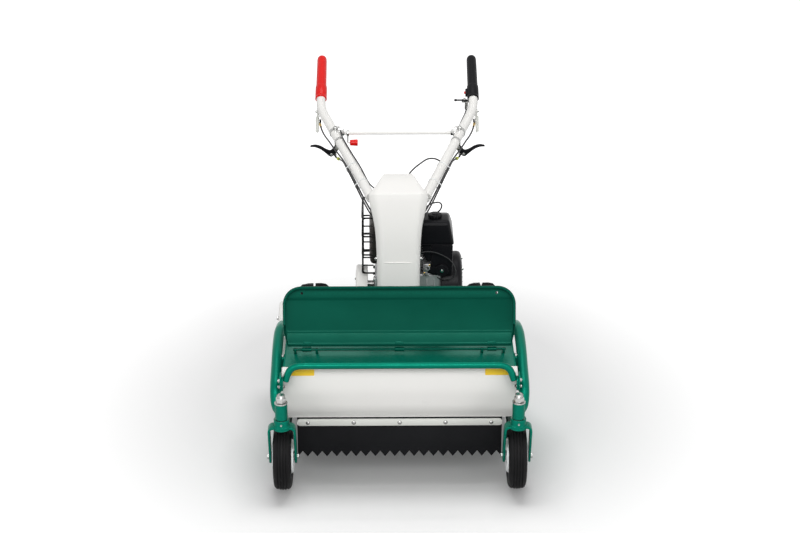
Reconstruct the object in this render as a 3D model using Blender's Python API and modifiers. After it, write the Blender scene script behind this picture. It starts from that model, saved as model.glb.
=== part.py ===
"""Walk-behind hammer knife mower, in metres, +Z up.

The mower stands on the floor plane with the middle of its footprint at the origin and
its nose towards -Y. Left and right are the walker's, so left is +X. Places are written
as (across, back, up): across from the centre line, back from the caster axles, and up
from the floor. Every piece is an object of its own.
"""
import math

import bmesh
import bpy
from mathutils import Matrix, Vector

# General sizes
GAP = 0.0003
CLEARANCE = 0.0008
SIDES = {"left": 1, "right": -1}

# Casters
CASTER_RADIUS = 0.109
CASTER_HALF_WIDTH = 0.0297
CASTER_STEPS = 24
CASTER_TRAIL = 0.035
CASTER_RIM_RADIUS = 0.060
CASTER_BOLT_RADIUS = 0.006
FORK_INNER = 0.0375
FORK_STRAP = 0.007
FORK_TOP = 0.243
FORK_CROWN = 0.009
FORK_HALF_DEPTH = 0.019
FORK_END_RADIUS = 0.022
TAB_SHEET = 0.005
SPINDLE_RADIUS = 0.0122
COLLAR_RADIUS = 0.025
SLEEVE_RADIUS = 0.020
WASHER_RADIUS = 0.021
NUT_RADIUS = 0.0165
SLEEVE_BOTTOM = 0.267
SLEEVE_TOP = 0.322

# Rear wheels
WHEEL_RADIUS = 0.165
WHEEL_HALF_WIDTH = 0.058
WHEEL_STEPS = 28
WHEEL_ACROSS = 0.300
WHEEL_BACK = 0.80
WHEEL_RIM_RADIUS = 0.070
AXLE_RADIUS = 0.0125
CASE_HALF_WIDTH = 0.095
AXLE_ENTRY = 0.020

# Mowing deck
DECK_HALF_WIDTH = 0.375
DECK_TOP = 0.393
DECK_SHEET = 0.0035
SIDE_SHEET = 0.0045
PANEL_SHEET = 0.003
DECK_FRONT = 0.078
ROTOR_BACK = 0.30
ROTOR_UP = 0.170
HOOD_RADIUS = 0.2175
HOOD_REAR_LIP = 0.100
SKIRT_SHEET = 0.005
SKIRT_BOTTOM = 0.045
SKIRT_TOP = 0.203
SKIRT_TEETH = 21
SKIRT_TOOTH_DEPTH = 0.021
CLAMP_SHEET = 0.006
CLAMP_UP = 0.176
CLAMP_HALF_HEIGHT = 0.012
CLAMP_BOLTS = 5
CLAMP_BOLT_RADIUS = 0.004

# Rotor and drive
DRUM_RADIUS = 0.055
SWING_RADIUS = 0.145
KNIFE_STATIONS = 7
KNIFE_ROWS = 4
KNIFE_WIDTH = 0.030
KNIFE_THICKNESS = 0.010
FIRST_KNIFE_ANGLE = 0.3
SHAFT_RADIUS = 0.0175
BEARING_RADIUS = 0.046
BEARING_SEAT = 0.034
COUNTER_BACK = 0.575
COUNTER_RADIUS = 0.0125
COUNTER_PULLEY = 0.052
ROTOR_PULLEY = 0.047
CRANK_BACK = 0.730
CRANK_RADIUS = 0.012
ENGINE_PULLEY = 0.040
PULLEY_HALF_WIDTH = 0.011
BELT_HALF_WIDTH = 0.0065
BELT_THICKNESS = 0.008
BELT_LIFT = 0.0010
ENGINE_BELT_ACROSS = -0.124
COVER_WALL = 0.002
PULLEY_STEPS = 20

# Chassis and engine
ENGINE_FRONT = 0.640
ENGINE_REAR = 0.850
CYLINDER_SIDES = (-0.026, 0.130)
CYLINDER_ENDS = (0.664, 0.880)
BED_OVER_AXLE = 0.087
BED_SHEET = 0.006
BED_HALF_WIDTH = 0.175
BED_FRONT = 0.526
BED_REAR = 0.940
FLAP_TOP = 0.160
RAIL_ACROSS = 0.080
RAIL_HALF = 0.015
TANK_FRONT = 0.620
TANK_HEIGHT = 0.088
FAN_RADIUS = 0.115
BLOCK_RIGHT = -0.080
BLOCK_LEFT = 0.150
BLOCK_HEIGHT = 0.204
CYLINDER_HEIGHT = 0.117
MUFFLER_SIDE = -0.098

# Column and handle
COVER_SHEET = 0.0025
TUBE_RADIUS = 0.0165
TUBE_FOOT = (0.092, 0.606, 0.757)
TUBE_BEND = (0.275, 1.129, 0.882)
BEND_SWEEP = 0.045
GRIP_LENGTH = 0.221
GRIP_RISE = 25.0
GRIP_RADIUS = 0.0190
GRIP_COLLAR_RADIUS = 0.0212
GRIP_COLLAR = 0.062
CROSSBAR_BACK = 0.978
CROSSBAR_RADIUS = 0.006
BOSS_DEPTH = 0.0145
CABLE_RADIUS = 0.003
LEVER_BACK = 0.945
LEVER_PIVOT = (0.212, 0.806)
LEVER_SHEET = 0.008
LEVER_PIN = 0.004
HAND_PIVOT = (1.150, 0.864)
HAND_ACROSS = 0.2865
HAND_SHEET = 0.006
HAND_PIN = 0.0035
THROTTLE_PIVOT = (0.243, 1.160)
THROTTLE_UP = 0.8995
THROTTLE_PIN = 0.003

# Front guard and frame
SIDE_PIPE_RADIUS = 0.017
BUMPER_RADIUS = 0.011
HINGE_BACK = 0.172
HINGE_RADIUS = 0.004
HINGE_LIFT = 0.0123
GUARD_LENGTH = 0.204
GUARD_LEAN = 67.0
GUARD_SHEET = 0.002
GUARD_RIM = 0.022

# Places that follow from the sizes above
CASTER_ACROSS = DECK_HALF_WIDTH + 0.001
TAB_ACROSS = DECK_HALF_WIDTH + 0.0035
SKIRT_HALF_WIDTH = DECK_HALF_WIDTH - 0.041
CLAMP_HALF_WIDTH = SKIRT_HALF_WIDTH + 0.001
CLAMP_BOLT_PITCH = (CLAMP_HALF_WIDTH - 0.0365) / ((CLAMP_BOLTS - 1) / 2)
DRUM_HALF_LENGTH = DECK_HALF_WIDTH - 0.030
ROTOR_BELT_ACROSS = -(DECK_HALF_WIDTH + 0.0175)
GUARD_HALF_WIDTH = DECK_HALF_WIDTH + 0.001
KNUCKLE_ACROSS = DECK_HALF_WIDTH - 0.075
HINGE = (HINGE_BACK, DECK_TOP + HINGE_LIFT)
CASTER_AXLE_UP = CASTER_RADIUS * math.cos(math.pi / CASTER_STEPS)
WHEEL_AXLE_UP = WHEEL_RADIUS * math.cos(math.pi / WHEEL_STEPS)
BED_TOP = round(WHEEL_AXLE_UP + BED_OVER_AXLE, 3)
COUNTER_UP = BED_TOP + 0.039
CRANK_UP = BED_TOP + 0.124
BLOCK_TOP = BED_TOP + BLOCK_HEIGHT
TANK_BOTTOM = BLOCK_TOP + CYLINDER_HEIGHT
TANK_TOP = TANK_BOTTOM + TANK_HEIGHT
TUBE_WAY = (Vector(TUBE_BEND) - Vector(TUBE_FOOT)).normalized()
GRIP_SLOPE = math.radians(GRIP_RISE)
GRIP_AXIS = Vector((0.0, math.cos(GRIP_SLOPE), math.sin(GRIP_SLOPE)))
GRIP_START = BEND_SWEEP + 0.003
GRIP_STEPS = 20
GRIP_DOME_RADIUS = 0.008
GRIP_DOME_DROP = 0.001
GRIP_TIP = GRIP_START + GRIP_LENGTH - GRIP_DOME_DROP
DOME_REACH = GRIP_DOME_RADIUS * math.cos(math.pi / GRIP_STEPS) * math.sin(GRIP_SLOPE)
REAR_END = TUBE_BEND[1] + GRIP_TIP * math.cos(GRIP_SLOPE) + DOME_REACH
FRONT_END = -CASTER_AXLE_UP
MIDDLE = (REAR_END + FRONT_END) / 2
PLATE_INNER = DECK_HALF_WIDTH - 0.0065
PLATE_OUTER = PLATE_INNER + SIDE_SHEET
HOOD_REAR = ROTOR_BACK + HOOD_RADIUS + DECK_SHEET / 2
ENGINE_TOP = BLOCK_TOP + 0.0005
ENGINE_COVER_INNER = ENGINE_BELT_ACROSS + PULLEY_HALF_WIDTH + 0.006
ENGINE_COVER_OUTER = ENGINE_BELT_ACROSS - PULLEY_HALF_WIDTH - 0.012
CRANK = (CRANK_BACK, CRANK_UP)
COUNTER = (COUNTER_BACK, COUNTER_UP)
ROTOR = (ROTOR_BACK, ROTOR_UP)

PARTS = "walk_behind_hammer_knife_mower"


def at(across, back, up):
    """A place in the model's frame, from its distance across, back and up."""
    return Vector((across, back - MIDDLE, up))


# Scene and materials
def clear_scene():
    for item in list(bpy.data.objects):
        bpy.data.objects.remove(item, do_unlink=True)


def new_collection(name):
    made = bpy.data.collections.new(name)
    bpy.context.scene.collection.children.link(made)
    return made


def paint(name, colour, roughness, metallic=0.0):
    made = bpy.data.materials.new(name)
    made.use_nodes = True
    shader = made.node_tree.nodes["Principled BSDF"]
    shader.inputs["Base Color"].default_value = (*colour, 1.0)
    shader.inputs["Roughness"].default_value = roughness
    shader.inputs["Metallic"].default_value = metallic
    made.diffuse_color = (*colour, 1.0)
    return made


clear_scene()
parts = new_collection(PARTS)
cutters = new_collection("cutters_and_guides")

GREEN = paint("green_paint", (0.0, 0.195, 0.122), 0.35)
WHITE = paint("white_paint", (0.86, 0.85, 0.83), 0.35)
GREY = paint("grey_paint", (0.68, 0.69, 0.66), 0.45)
BLACK = paint("black_plastic", (0.012, 0.012, 0.013), 0.45)
BLACK_PAINT = paint("black_paint", (0.014, 0.014, 0.015), 0.5)
RED = paint("red_plastic", (0.80, 0.045, 0.03), 0.3)
RUBBER = paint("rubber", (0.016, 0.016, 0.017), 0.75)
TYRE = paint("tyre_rubber", (0.010, 0.010, 0.010), 0.7)
WHITE_PLASTIC = paint("white_plastic", (0.80, 0.82, 0.82), 0.35)
ZINC = paint("zinc_plate", (0.62, 0.62, 0.60), 0.35, 1.0)
STEEL = paint("steel", (0.35, 0.35, 0.36), 0.4, 1.0)
ALUMINIUM = paint("cast_aluminium", (0.50, 0.50, 0.51), 0.5, 1.0)


# Shaping helpers
def put(name, data, material, matrix=None):
    made = bpy.data.objects.new(name, data)
    parts.objects.link(made)
    data.materials.append(material)
    if matrix is not None:
        made.matrix_world = matrix
    return made


def along(direction):
    """A turn that lays local Z along a direction, with local X as near to up as it can be."""
    z = Vector(direction).normalized()
    guide = Vector((0.0, 0.0, 1.0)) if abs(z.z) < 0.9 else Vector((0.0, -1.0, 0.0))
    x = (guide - z * guide.dot(z)).normalized()
    return Matrix((x, z.cross(x), z)).transposed().to_4x4()


def clear(radius, steps):
    """The corner radius of a many-sided hole whose flats clear a shaft of this radius."""
    return (radius + GAP) / math.cos(math.pi / steps)


def block(name, one, other, material, bevel=0.0, segments=2):
    """A box between two opposite corners, with rounded edges if a bevel is given."""
    low = at(*[min(a, b) for a, b in zip(one, other)])
    high = at(*[max(a, b) for a, b in zip(one, other)])
    shape = bmesh.new()
    bmesh.ops.create_cube(shape, size=1.0)
    bmesh.ops.scale(shape, vec=high - low, verts=shape.verts)
    mesh = bpy.data.meshes.new(name)
    shape.to_mesh(mesh)
    shape.free()
    made = put(name, mesh, material, Matrix.Translation((low + high) / 2))
    if bevel:
        round_edges(made, bevel, segments)
    return made


def round_edges(item, width, segments=2):
    rounding = item.modifiers.new("rounded_edges", "BEVEL")
    rounding.width = width
    rounding.segments = segments
    rounding.limit_method = "ANGLE"
    rounding.angle_limit = math.radians(40)


def rod(name, start, end, radius, material, sides=16, end_radius=None):
    """A round or many-sided bar between two places."""
    start, end = at(*start), at(*end)
    shape = bmesh.new()
    bmesh.ops.create_cone(
        shape,
        cap_ends=True,
        segments=sides,
        radius1=radius,
        radius2=radius if end_radius is None else end_radius,
        depth=(end - start).length,
    )
    mesh = bpy.data.meshes.new(name)
    shape.to_mesh(mesh)
    shape.free()
    made = put(name, mesh, material, Matrix.Translation((start + end) / 2) @ along(end - start))
    smooth(mesh)
    return made


def upright(name, centre, low, high, radius, material, sides=16):
    """An upright bar between two heights."""
    return rod(name, (*centre, low), (*centre, high), radius, material, sides)


def bore(name, start, end, radius, sides=16):
    """A cutter for the hole that a shaft of this radius turns or rests in."""
    return rod(name, start, end, clear(radius, sides), STEEL, sides)


def smooth(mesh, angle=40):
    mesh.shade_smooth()
    mesh.set_sharp_from_angle(angle=math.radians(angle))


def tube(name, route, radius, material, sides=3):
    """A bar of round section along a route, with filled ends, as a welded mesh."""
    curve = bpy.data.curves.new(name, "CURVE")
    curve.dimensions = "3D"
    curve.bevel_depth = radius
    curve.bevel_resolution = sides
    curve.use_fill_caps = True
    spline = curve.splines.new("POLY")
    spline.points.add(len(route) - 1)
    for point, place in zip(spline.points, route):
        point.co = (*at(*place), 1.0)
    return welded(put(name, curve, material))


def welded(item):
    """The same shape as a mesh, with its caps joined to its walls."""
    bpy.context.view_layer.update()
    seen = item.evaluated_get(bpy.context.evaluated_depsgraph_get())
    mesh = bpy.data.meshes.new_from_object(seen)
    shape = bmesh.new()
    shape.from_mesh(mesh)
    bmesh.ops.remove_doubles(shape, verts=shape.verts, dist=0.00001)
    bmesh.ops.recalc_face_normals(shape, faces=shape.faces)
    shape.to_mesh(mesh)
    shape.free()
    name, matrix = item.name, item.matrix_world.copy()
    bpy.data.objects.remove(item, do_unlink=True)
    made = bpy.data.objects.new(name, mesh)
    parts.objects.link(made)
    made.matrix_world = matrix
    smooth(mesh)
    return made


def smooth_route(route, steps):
    """A smooth curve through a route's places, as a list of places."""
    places = [Vector(p) for p in route]
    ends = [2 * places[0] - places[1], *places, 2 * places[-1] - places[-2]]
    found = []
    for n in range(1, len(ends) - 2):
        a, b, c, d = ends[n - 1 : n + 3]
        for step in range(steps):
            t = step / steps
            bend = (2 * a - 5 * b + 4 * c - d) * t * t + (3 * b - a - 3 * c + d) * t * t * t
            found.append(tuple(b + ((c - a) * t + bend) / 2))
    found.append(tuple(places[-1]))
    return found


def plate(name, outline, thickness, across, material, holes=()):
    """A flat plate that faces sideways: an outline in (back, up), with round holes."""
    turn = Matrix(((0, 0, 1), (1, 0, 0), (0, 1, 0))).to_4x4()
    place = Matrix.Translation((across, -MIDDLE, 0.0)) @ turn
    return flat(name, outline, thickness, place, material, holes)


def front_plate(name, outline, thickness, back, material, holes=()):
    """A flat plate that faces the front: an outline in (across, up), with round holes."""
    turn = Matrix(((1, 0, 0), (0, 0, -1), (0, 1, 0))).to_4x4()
    place = Matrix.Translation((0.0, back - MIDDLE, 0.0)) @ turn
    return flat(name, outline, thickness, place, material, holes)


def flat(name, outline, thickness, place, material, holes=()):
    curve = bpy.data.curves.new(name, "CURVE")
    curve.dimensions = "2D"
    curve.fill_mode = "BOTH"
    curve.extrude = thickness / 2
    loops = [outline] + [hole_outline(centre, radius) for centre, radius in holes]
    for loop in loops:
        spline = curve.splines.new("POLY")
        spline.points.add(len(loop) - 1)
        spline.use_cyclic_u = True
        for point, (u, v) in zip(spline.points, loop):
            point.co = (u, v, 0.0, 1.0)
    return welded(put(name, curve, material, place))


def hole_outline(centre, radius):
    """A many-sided hole that clears a shaft of this radius."""
    steps = 20 if radius > 0.02 else 12
    return arc(centre, clear(radius, steps), 0.0, 360.0 * (steps - 1) / steps, steps - 1)


def arc(centre, radius, start, end, steps):
    """Places along an arc, from one angle to another in degrees."""
    found = []
    for step in range(steps + 1):
        angle = math.radians(start + (end - start) * step / steps)
        found.append((centre[0] + radius * math.cos(angle), centre[1] + radius * math.sin(angle)))
    return found


def rounded_box(low, high, radius, steps=3):
    """The outline of a rectangle with rounded corners."""
    (u0, v0), (u1, v1) = low, high
    corners = [(u1, v1, 0), (u0, v1, 90), (u0, v0, 180), (u1, v0, 270)]
    found = []
    for u, v, start in corners:
        u += radius if u == u0 else -radius
        v += radius if v == v0 else -radius
        found += arc((u, v), radius, start, start + 90, steps)
    return found


def capsule(first, second, first_radius, second_radius, steps=8):
    """The outline around two circles and the straight lines that touch both."""
    way = Vector(second) - Vector(first)
    heading = math.degrees(math.atan2(way.y, way.x))
    lean = math.degrees(math.acos((first_radius - second_radius) / way.length))
    far = arc(second, second_radius, heading - lean, heading + lean, steps)
    near = arc(first, first_radius, heading + lean, heading + 360 - lean, steps)
    return far + near


def turned(name, profile, start, direction, steps, material, closed=False):
    """A turned piece: a profile of (radius, distance along the axis), spun round the axis."""
    shape = bmesh.new()
    corners = [shape.verts.new((radius, 0.0, along_axis)) for radius, along_axis in profile]
    for one, two in zip(corners, corners[1:] + corners[:1] if closed else corners[1:]):
        shape.edges.new((one, two))
    mesh = bpy.data.meshes.new(name)
    shape.to_mesh(mesh)
    shape.free()
    half_step = Matrix.Rotation(math.pi / steps, 4, "Z")
    made = put(name, mesh, material, Matrix.Translation(at(*start)) @ along(direction) @ half_step)
    spin = made.modifiers.new("turned", "SCREW")
    spin.steps = steps
    spin.render_steps = steps
    spin.use_merge_vertices = True
    spin.merge_threshold = 0.00001
    spin.use_smooth_shade = True
    return made


def bent_sheet(name, profile, half_width, thickness, material):
    """Sheet metal bent along X: a profile in (back, up), pulled across and given a wall."""
    shape = bmesh.new()
    corners = [shape.verts.new(at(-half_width, *p)) for p in profile]
    for one, two in zip(corners, corners[1:]):
        shape.edges.new((one, two))
    pulled = bmesh.ops.extrude_edge_only(shape, edges=shape.edges[:])
    moved = [v for v in pulled["geom"] if isinstance(v, bmesh.types.BMVert)]
    bmesh.ops.translate(shape, vec=(2 * half_width, 0, 0), verts=moved)
    mesh = bpy.data.meshes.new(name)
    shape.to_mesh(mesh)
    shape.free()
    made = put(name, mesh, material)
    wall(made, thickness)
    return made


def wall(item, thickness, offset=0.0):
    solid = item.modifiers.new("wall", "SOLIDIFY")
    solid.thickness = thickness
    solid.offset = offset
    solid.use_even_offset = True
    solid.use_quality_normals = True


def store(item):
    """Set a piece aside as the operand of another piece's Boolean."""
    for collection in list(item.users_collection):
        collection.objects.unlink(item)
    cutters.objects.link(item)
    item.hide_render = True
    item.display_type = "WIRE"


def join(target, *others):
    for other in others:
        combine(target, other, "UNION")
    return target


def cut(target, *others):
    for other in others:
        combine(target, other, "DIFFERENCE")
    return target


def combine(target, other, operation):
    change = target.modifiers.new(operation.lower(), "BOOLEAN")
    change.operation = operation
    change.object = other
    store(other)


def pivot(name, place):
    """An empty on a joint's axis, for the pieces that turn or slide there."""
    empty = bpy.data.objects.new(name, None)
    cutters.objects.link(empty)
    empty.hide_render = True
    empty.matrix_world = Matrix.Translation(at(*place))
    return empty


def hang(empty, *items):
    bpy.context.view_layer.update()
    for item in items:
        item.parent = empty
        item.matrix_parent_inverse = empty.matrix_world.inverted()


# Casters
def tyre_profile(tread, rim, half_width):
    """Half a tyre's section, then its mirror image: outer side from one edge to the other."""
    depth = tread - rim
    half = [
        (rim, 0.80 * half_width),
        (rim + 0.45 * depth, half_width),
        (rim + 0.82 * depth, 0.92 * half_width),
        (tread - 0.05 * depth, 0.72 * half_width),
        (tread, 0.42 * half_width),
    ]
    return half + [(radius, -side) for radius, side in reversed(half)]


def caster_fork(side, sign):
    across = sign * CASTER_ACROSS
    axle = (0.0, CASTER_AXLE_UP)
    top = FORK_TOP - 0.0004
    front, rear = -CASTER_TRAIL - FORK_HALF_DEPTH, -CASTER_TRAIL + FORK_HALF_DEPTH
    leg = [(rear, top), (front, top)] + arc(axle, FORK_END_RADIUS, 195, 375, 8)
    made = block(
        f"caster_fork_{side}",
        (across - FORK_INNER - 0.5 * FORK_STRAP, front - 0.001, FORK_TOP - FORK_CROWN),
        (across + FORK_INNER + 0.5 * FORK_STRAP, rear + 0.001, FORK_TOP),
        GREEN,
    )
    for n, way in enumerate((-1, 1)):
        middle = across + way * (FORK_INNER + FORK_STRAP / 2)
        bolt_hole = [(axle, CASTER_BOLT_RADIUS)]
        join(made, plate(f"fork_leg_{side}_{n}", leg, FORK_STRAP, middle, GREEN, bolt_hole))
    centre = (across, -CASTER_TRAIL)
    thread_top = SLEEVE_TOP + 0.030
    washer_top, nut_top = SLEEVE_TOP + 0.004, SLEEVE_TOP + 0.022
    join(
        made,
        upright(f"fork_collar_{side}", centre, FORK_TOP - 0.004, SLEEVE_BOTTOM - GAP, COLLAR_RADIUS, GREEN),
        upright(f"fork_spindle_{side}", centre, FORK_TOP - 0.002, thread_top, SPINDLE_RADIUS, ZINC, 14),
        upright(f"fork_washer_{side}", centre, SLEEVE_TOP + GAP, washer_top, WASHER_RADIUS, ZINC),
        upright(f"fork_nut_{side}", centre, washer_top - 0.001, nut_top, NUT_RADIUS, ZINC, 6),
    )
    return made


def caster(side, sign):
    across = sign * CASTER_ACROSS
    axle = (across, 0.0, CASTER_AXLE_UP)
    fork = caster_fork(side, sign)
    profile = tyre_profile(CASTER_RADIUS, CASTER_RIM_RADIUS, CASTER_HALF_WIDTH)
    tyre = turned(f"caster_tyre_{side}", profile, axle, (1, 0, 0), CASTER_STEPS, TYRE, True)
    rim = CASTER_RIM_RADIUS - GAP
    steps = CASTER_STEPS
    bolt_hole = clear(CASTER_BOLT_RADIUS, steps)
    hub_half = FORK_INNER - CLEARANCE
    half = [(bolt_hole, hub_half), (0.016, hub_half), (0.018, 0.006)]
    half += [(0.047, 0.006), (0.050, 0.026), (rim, 0.026)]
    disc = half + [(radius, -side_way) for radius, side_way in reversed(half)]
    hub = turned(f"caster_hub_{side}", disc, axle, (1, 0, 0), steps, WHITE_PLASTIC, True)
    bolt_half = FORK_INNER + FORK_STRAP + GAP
    head = bolt_half + 0.007
    bolt = rod(
        f"caster_axle_bolt_{side}",
        (across - head + 0.001, 0.0, CASTER_AXLE_UP),
        (across + head - 0.001, 0.0, CASTER_AXLE_UP),
        CASTER_BOLT_RADIUS,
        ZINC,
        10,
    )
    for n, way in enumerate((-1, 1)):
        inner = (across + way * bolt_half, 0.0, CASTER_AXLE_UP)
        outer = (across + way * head, 0.0, CASTER_AXLE_UP)
        join(bolt, rod(f"caster_bolt_head_{side}_{n}", inner, outer, 0.0105, ZINC, 6))
    swivel = pivot(f"caster_swivel_{side}", (across, -CASTER_TRAIL, FORK_TOP))
    spin = pivot(f"caster_spin_{side}", axle)
    hang(swivel, fork, bolt)
    hang(spin, tyre, hub)


# Rear wheels
def rear_wheel(side, sign):
    axle = (sign * WHEEL_ACROSS, WHEEL_BACK, WHEEL_AXLE_UP)
    outward = (sign, 0, 0)
    profile = tyre_profile(WHEEL_RADIUS, WHEEL_RIM_RADIUS, WHEEL_HALF_WIDTH)
    tyre = turned(f"rear_tyre_{side}", profile, axle, outward, WHEEL_STEPS, TYRE, True)
    rim = WHEEL_RIM_RADIUS - GAP
    axle_end = -(WHEEL_ACROSS - CASE_HALF_WIDTH + AXLE_ENTRY)
    disc = [
        (0.0, 0.024),
        (0.026, 0.024),
        (0.028, 0.008),
        (0.056, 0.008),
        (0.060, 0.046),
        (rim, 0.046),
        (rim, -0.046),
        (0.060, -0.046),
        (0.056, 0.002),
        (0.028, 0.002),
        (0.026, -0.040),
        (AXLE_RADIUS, -0.040),
        (AXLE_RADIUS, axle_end),
        (0.0, axle_end),
    ]
    wheel = turned(f"rear_wheel_{side}", disc, axle, outward, WHEEL_STEPS, WHITE)
    hang(pivot(f"rear_axle_{side}", axle), tyre, wheel)


def transmission():
    top = BED_TOP - BED_SHEET - GAP
    bottom = WHEEL_AXLE_UP - 0.076
    outline = rounded_box((WHEEL_BACK - 0.105, bottom), (WHEEL_BACK + 0.070, top), 0.018)
    made = plate("transmission_case", outline, 0.120, 0.0, ALUMINIUM)
    axis = (WHEEL_BACK, WHEEL_AXLE_UP)
    horn = rod("axle_horn", (-CASE_HALF_WIDTH, *axis), (CASE_HALF_WIDTH, *axis), 0.032, ALUMINIUM)
    join(made, horn)
    for sign in SIDES.values():
        mouth = sign * (CASE_HALF_WIDTH + 0.010)
        depth = sign * (CASE_HALF_WIDTH - AXLE_ENTRY - CLEARANCE)
        cut(made, bore(f"axle_bore_{sign}", (mouth, *axis), (depth, *axis), AXLE_RADIUS))


# Mowing deck
def hood_profile():
    middle = DECK_TOP - DECK_SHEET / 2
    arch = arc(ROTOR, HOOD_RADIUS, 78, 0, 7)
    rear = ROTOR_BACK + HOOD_RADIUS
    flat_top = [(DECK_FRONT, middle), (ROTOR_BACK + 0.02, middle)]
    return flat_top + arch + [(rear, HOOD_REAR_LIP)]


def panel_profile():
    """The front panel's middle line, from its top return to its inner flange."""
    front = DECK_FRONT - 0.016
    return [
        (front + 0.0135, DECK_TOP - 0.001),
        (front, DECK_TOP - 0.010),
        (front + 0.001, 0.310),
        (front + 0.015, 0.240),
        (front + 0.038, 0.197),
    ]


def skirt_front():
    return panel_profile()[-1][0] + PANEL_SHEET / 2 + GAP + 0.0005


def front_panel():
    fold = skirt_front() + SKIRT_SHEET + GAP + PANEL_SHEET / 2
    profile = panel_profile()
    inner = [(profile[-2][0] + 0.018, 0.232), (fold, 0.220), (fold, 0.150)]
    made = bent_sheet("front_panel", profile, DECK_HALF_WIDTH, PANEL_SHEET, WHITE)
    flange = bent_sheet("panel_flange", inner, SKIRT_HALF_WIDTH, PANEL_SHEET, WHITE)
    tie_front = profile[-2][0] - 0.0005
    tie = block(
        "panel_tie",
        (-SKIRT_HALF_WIDTH + 0.002, tie_front, 0.229),
        (SKIRT_HALF_WIDTH - 0.002, profile[-2][0] + 0.020, 0.233),
        WHITE,
    )
    join(made, flange, tie)
    cut(made, bolt_holes("flange_bolt_holes"))


def bolt_places():
    middle = (CLAMP_BOLTS - 1) / 2
    return [(n - middle) * CLAMP_BOLT_PITCH for n in range(CLAMP_BOLTS)]


def bolt_holes(name):
    """One cutter for the row of bolts through the clamp bar, the skirt and the flange."""
    front, rear = skirt_front() - 0.004, skirt_front() + 0.020
    first, *rest = [
        bore(f"{name}_{n}", (x, front, CLAMP_UP), (x, rear, CLAMP_UP), CLAMP_BOLT_RADIUS, 8)
        for n, x in enumerate(bolt_places())
    ]
    return join(first, *rest)


def rubber_skirt():
    front = skirt_front()
    pitch = 2 * SKIRT_HALF_WIDTH / SKIRT_TEETH
    teeth = []
    for n in range(SKIRT_TEETH):
        left = -SKIRT_HALF_WIDTH + n * pitch
        teeth += [(left, SKIRT_BOTTOM), (left + pitch / 2, SKIRT_BOTTOM + SKIRT_TOOTH_DEPTH)]
    teeth.append((SKIRT_HALF_WIDTH, SKIRT_BOTTOM))
    outline = teeth + [(SKIRT_HALF_WIDTH, SKIRT_TOP), (-SKIRT_HALF_WIDTH, SKIRT_TOP)]
    made = front_plate("rubber_skirt", outline, SKIRT_SHEET, front + SKIRT_SHEET / 2, RUBBER)
    cut(made, bolt_holes("skirt_bolt_holes"))


def skirt_clamp_bar():
    back = skirt_front() - GAP - CLAMP_SHEET / 2
    low = (-CLAMP_HALF_WIDTH, CLAMP_UP - CLAMP_HALF_HEIGHT)
    high = (CLAMP_HALF_WIDTH, CLAMP_UP + CLAMP_HALF_HEIGHT)
    outline = rounded_box(low, high, CLAMP_HALF_HEIGHT - 0.0005, 3)
    made = front_plate("skirt_clamp_bar", outline, CLAMP_SHEET, back, GREY)
    head = back - CLAMP_SHEET / 2
    flange_rear = skirt_front() + SKIRT_SHEET + 2 * GAP + PANEL_SHEET
    for n, x in enumerate(bolt_places()):
        inner, outer = (x, head + 0.002, CLAMP_UP), (x, head - 0.004, CLAMP_UP)
        cap = rod(f"clamp_head_{n}", inner, outer, 0.0075, ZINC, 8, 0.005)
        inner, outer = (x, flange_rear + GAP, CLAMP_UP), (x, flange_rear + 0.006, CLAMP_UP)
        nut = rod(f"clamp_nut_{n}", inner, outer, 0.0075, ZINC, 6)
        inner, outer = (x, head + 0.001, CLAMP_UP), (x, flange_rear + 0.005, CLAMP_UP)
        shank = rod(f"clamp_shank_{n}", inner, outer, CLAMP_BOLT_RADIUS, ZINC, 8)
        join(made, shank, cap, nut)


def side_plate(side, sign):
    """An end wall of the deck, behind the front panel, with a hole for the rotor shaft."""
    behind = PANEL_SHEET / 2 + 2 * GAP
    top = DECK_TOP - 0.0045
    swept = 0.124
    panel = panel_profile()
    outline = [(panel[0][0] + 0.002, top), (panel[1][0] + behind, panel[1][1] - 0.0025)]
    outline += [(back + behind, up) for back, up in panel[2:4]]
    outline += [
        (swept, 0.190),
        (swept, 0.075),
        (swept + 0.040, 0.045),
        (0.470, 0.045),
        (0.535, 0.080),
        (0.545, 0.200),
    ]
    outline += arc(ROTOR, HOOD_RADIUS + 0.020, 18, 66, 4)
    outline.append((ROTOR_BACK + 0.065, top))
    centre = sign * (PLATE_INNER + SIDE_SHEET / 2)
    seat = [(ROTOR, BEARING_SEAT)]
    plate(f"side_plate_{side}", outline, SIDE_SHEET, centre, GREEN, seat)


def rotor_bearing(side, sign):
    """A flanged bearing housing in the side plate's hole, open for the shaft."""
    steps = 16
    shaft_hole = clear(SHAFT_RADIUS, steps)
    inner, outer = PLATE_INNER - 0.004, PLATE_OUTER + GAP
    seat = BEARING_SEAT
    profile = [
        (shaft_hole, outer + 0.007),
        (0.026, outer + 0.007),
        (BEARING_RADIUS, outer + 0.005),
        (BEARING_RADIUS, outer),
        (seat, outer),
        (seat, inner),
        (shaft_hole, inner),
    ]
    turned(f"rotor_bearing_{side}", profile, (0, *ROTOR), (sign, 0, 0), steps, GREY, True)


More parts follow.
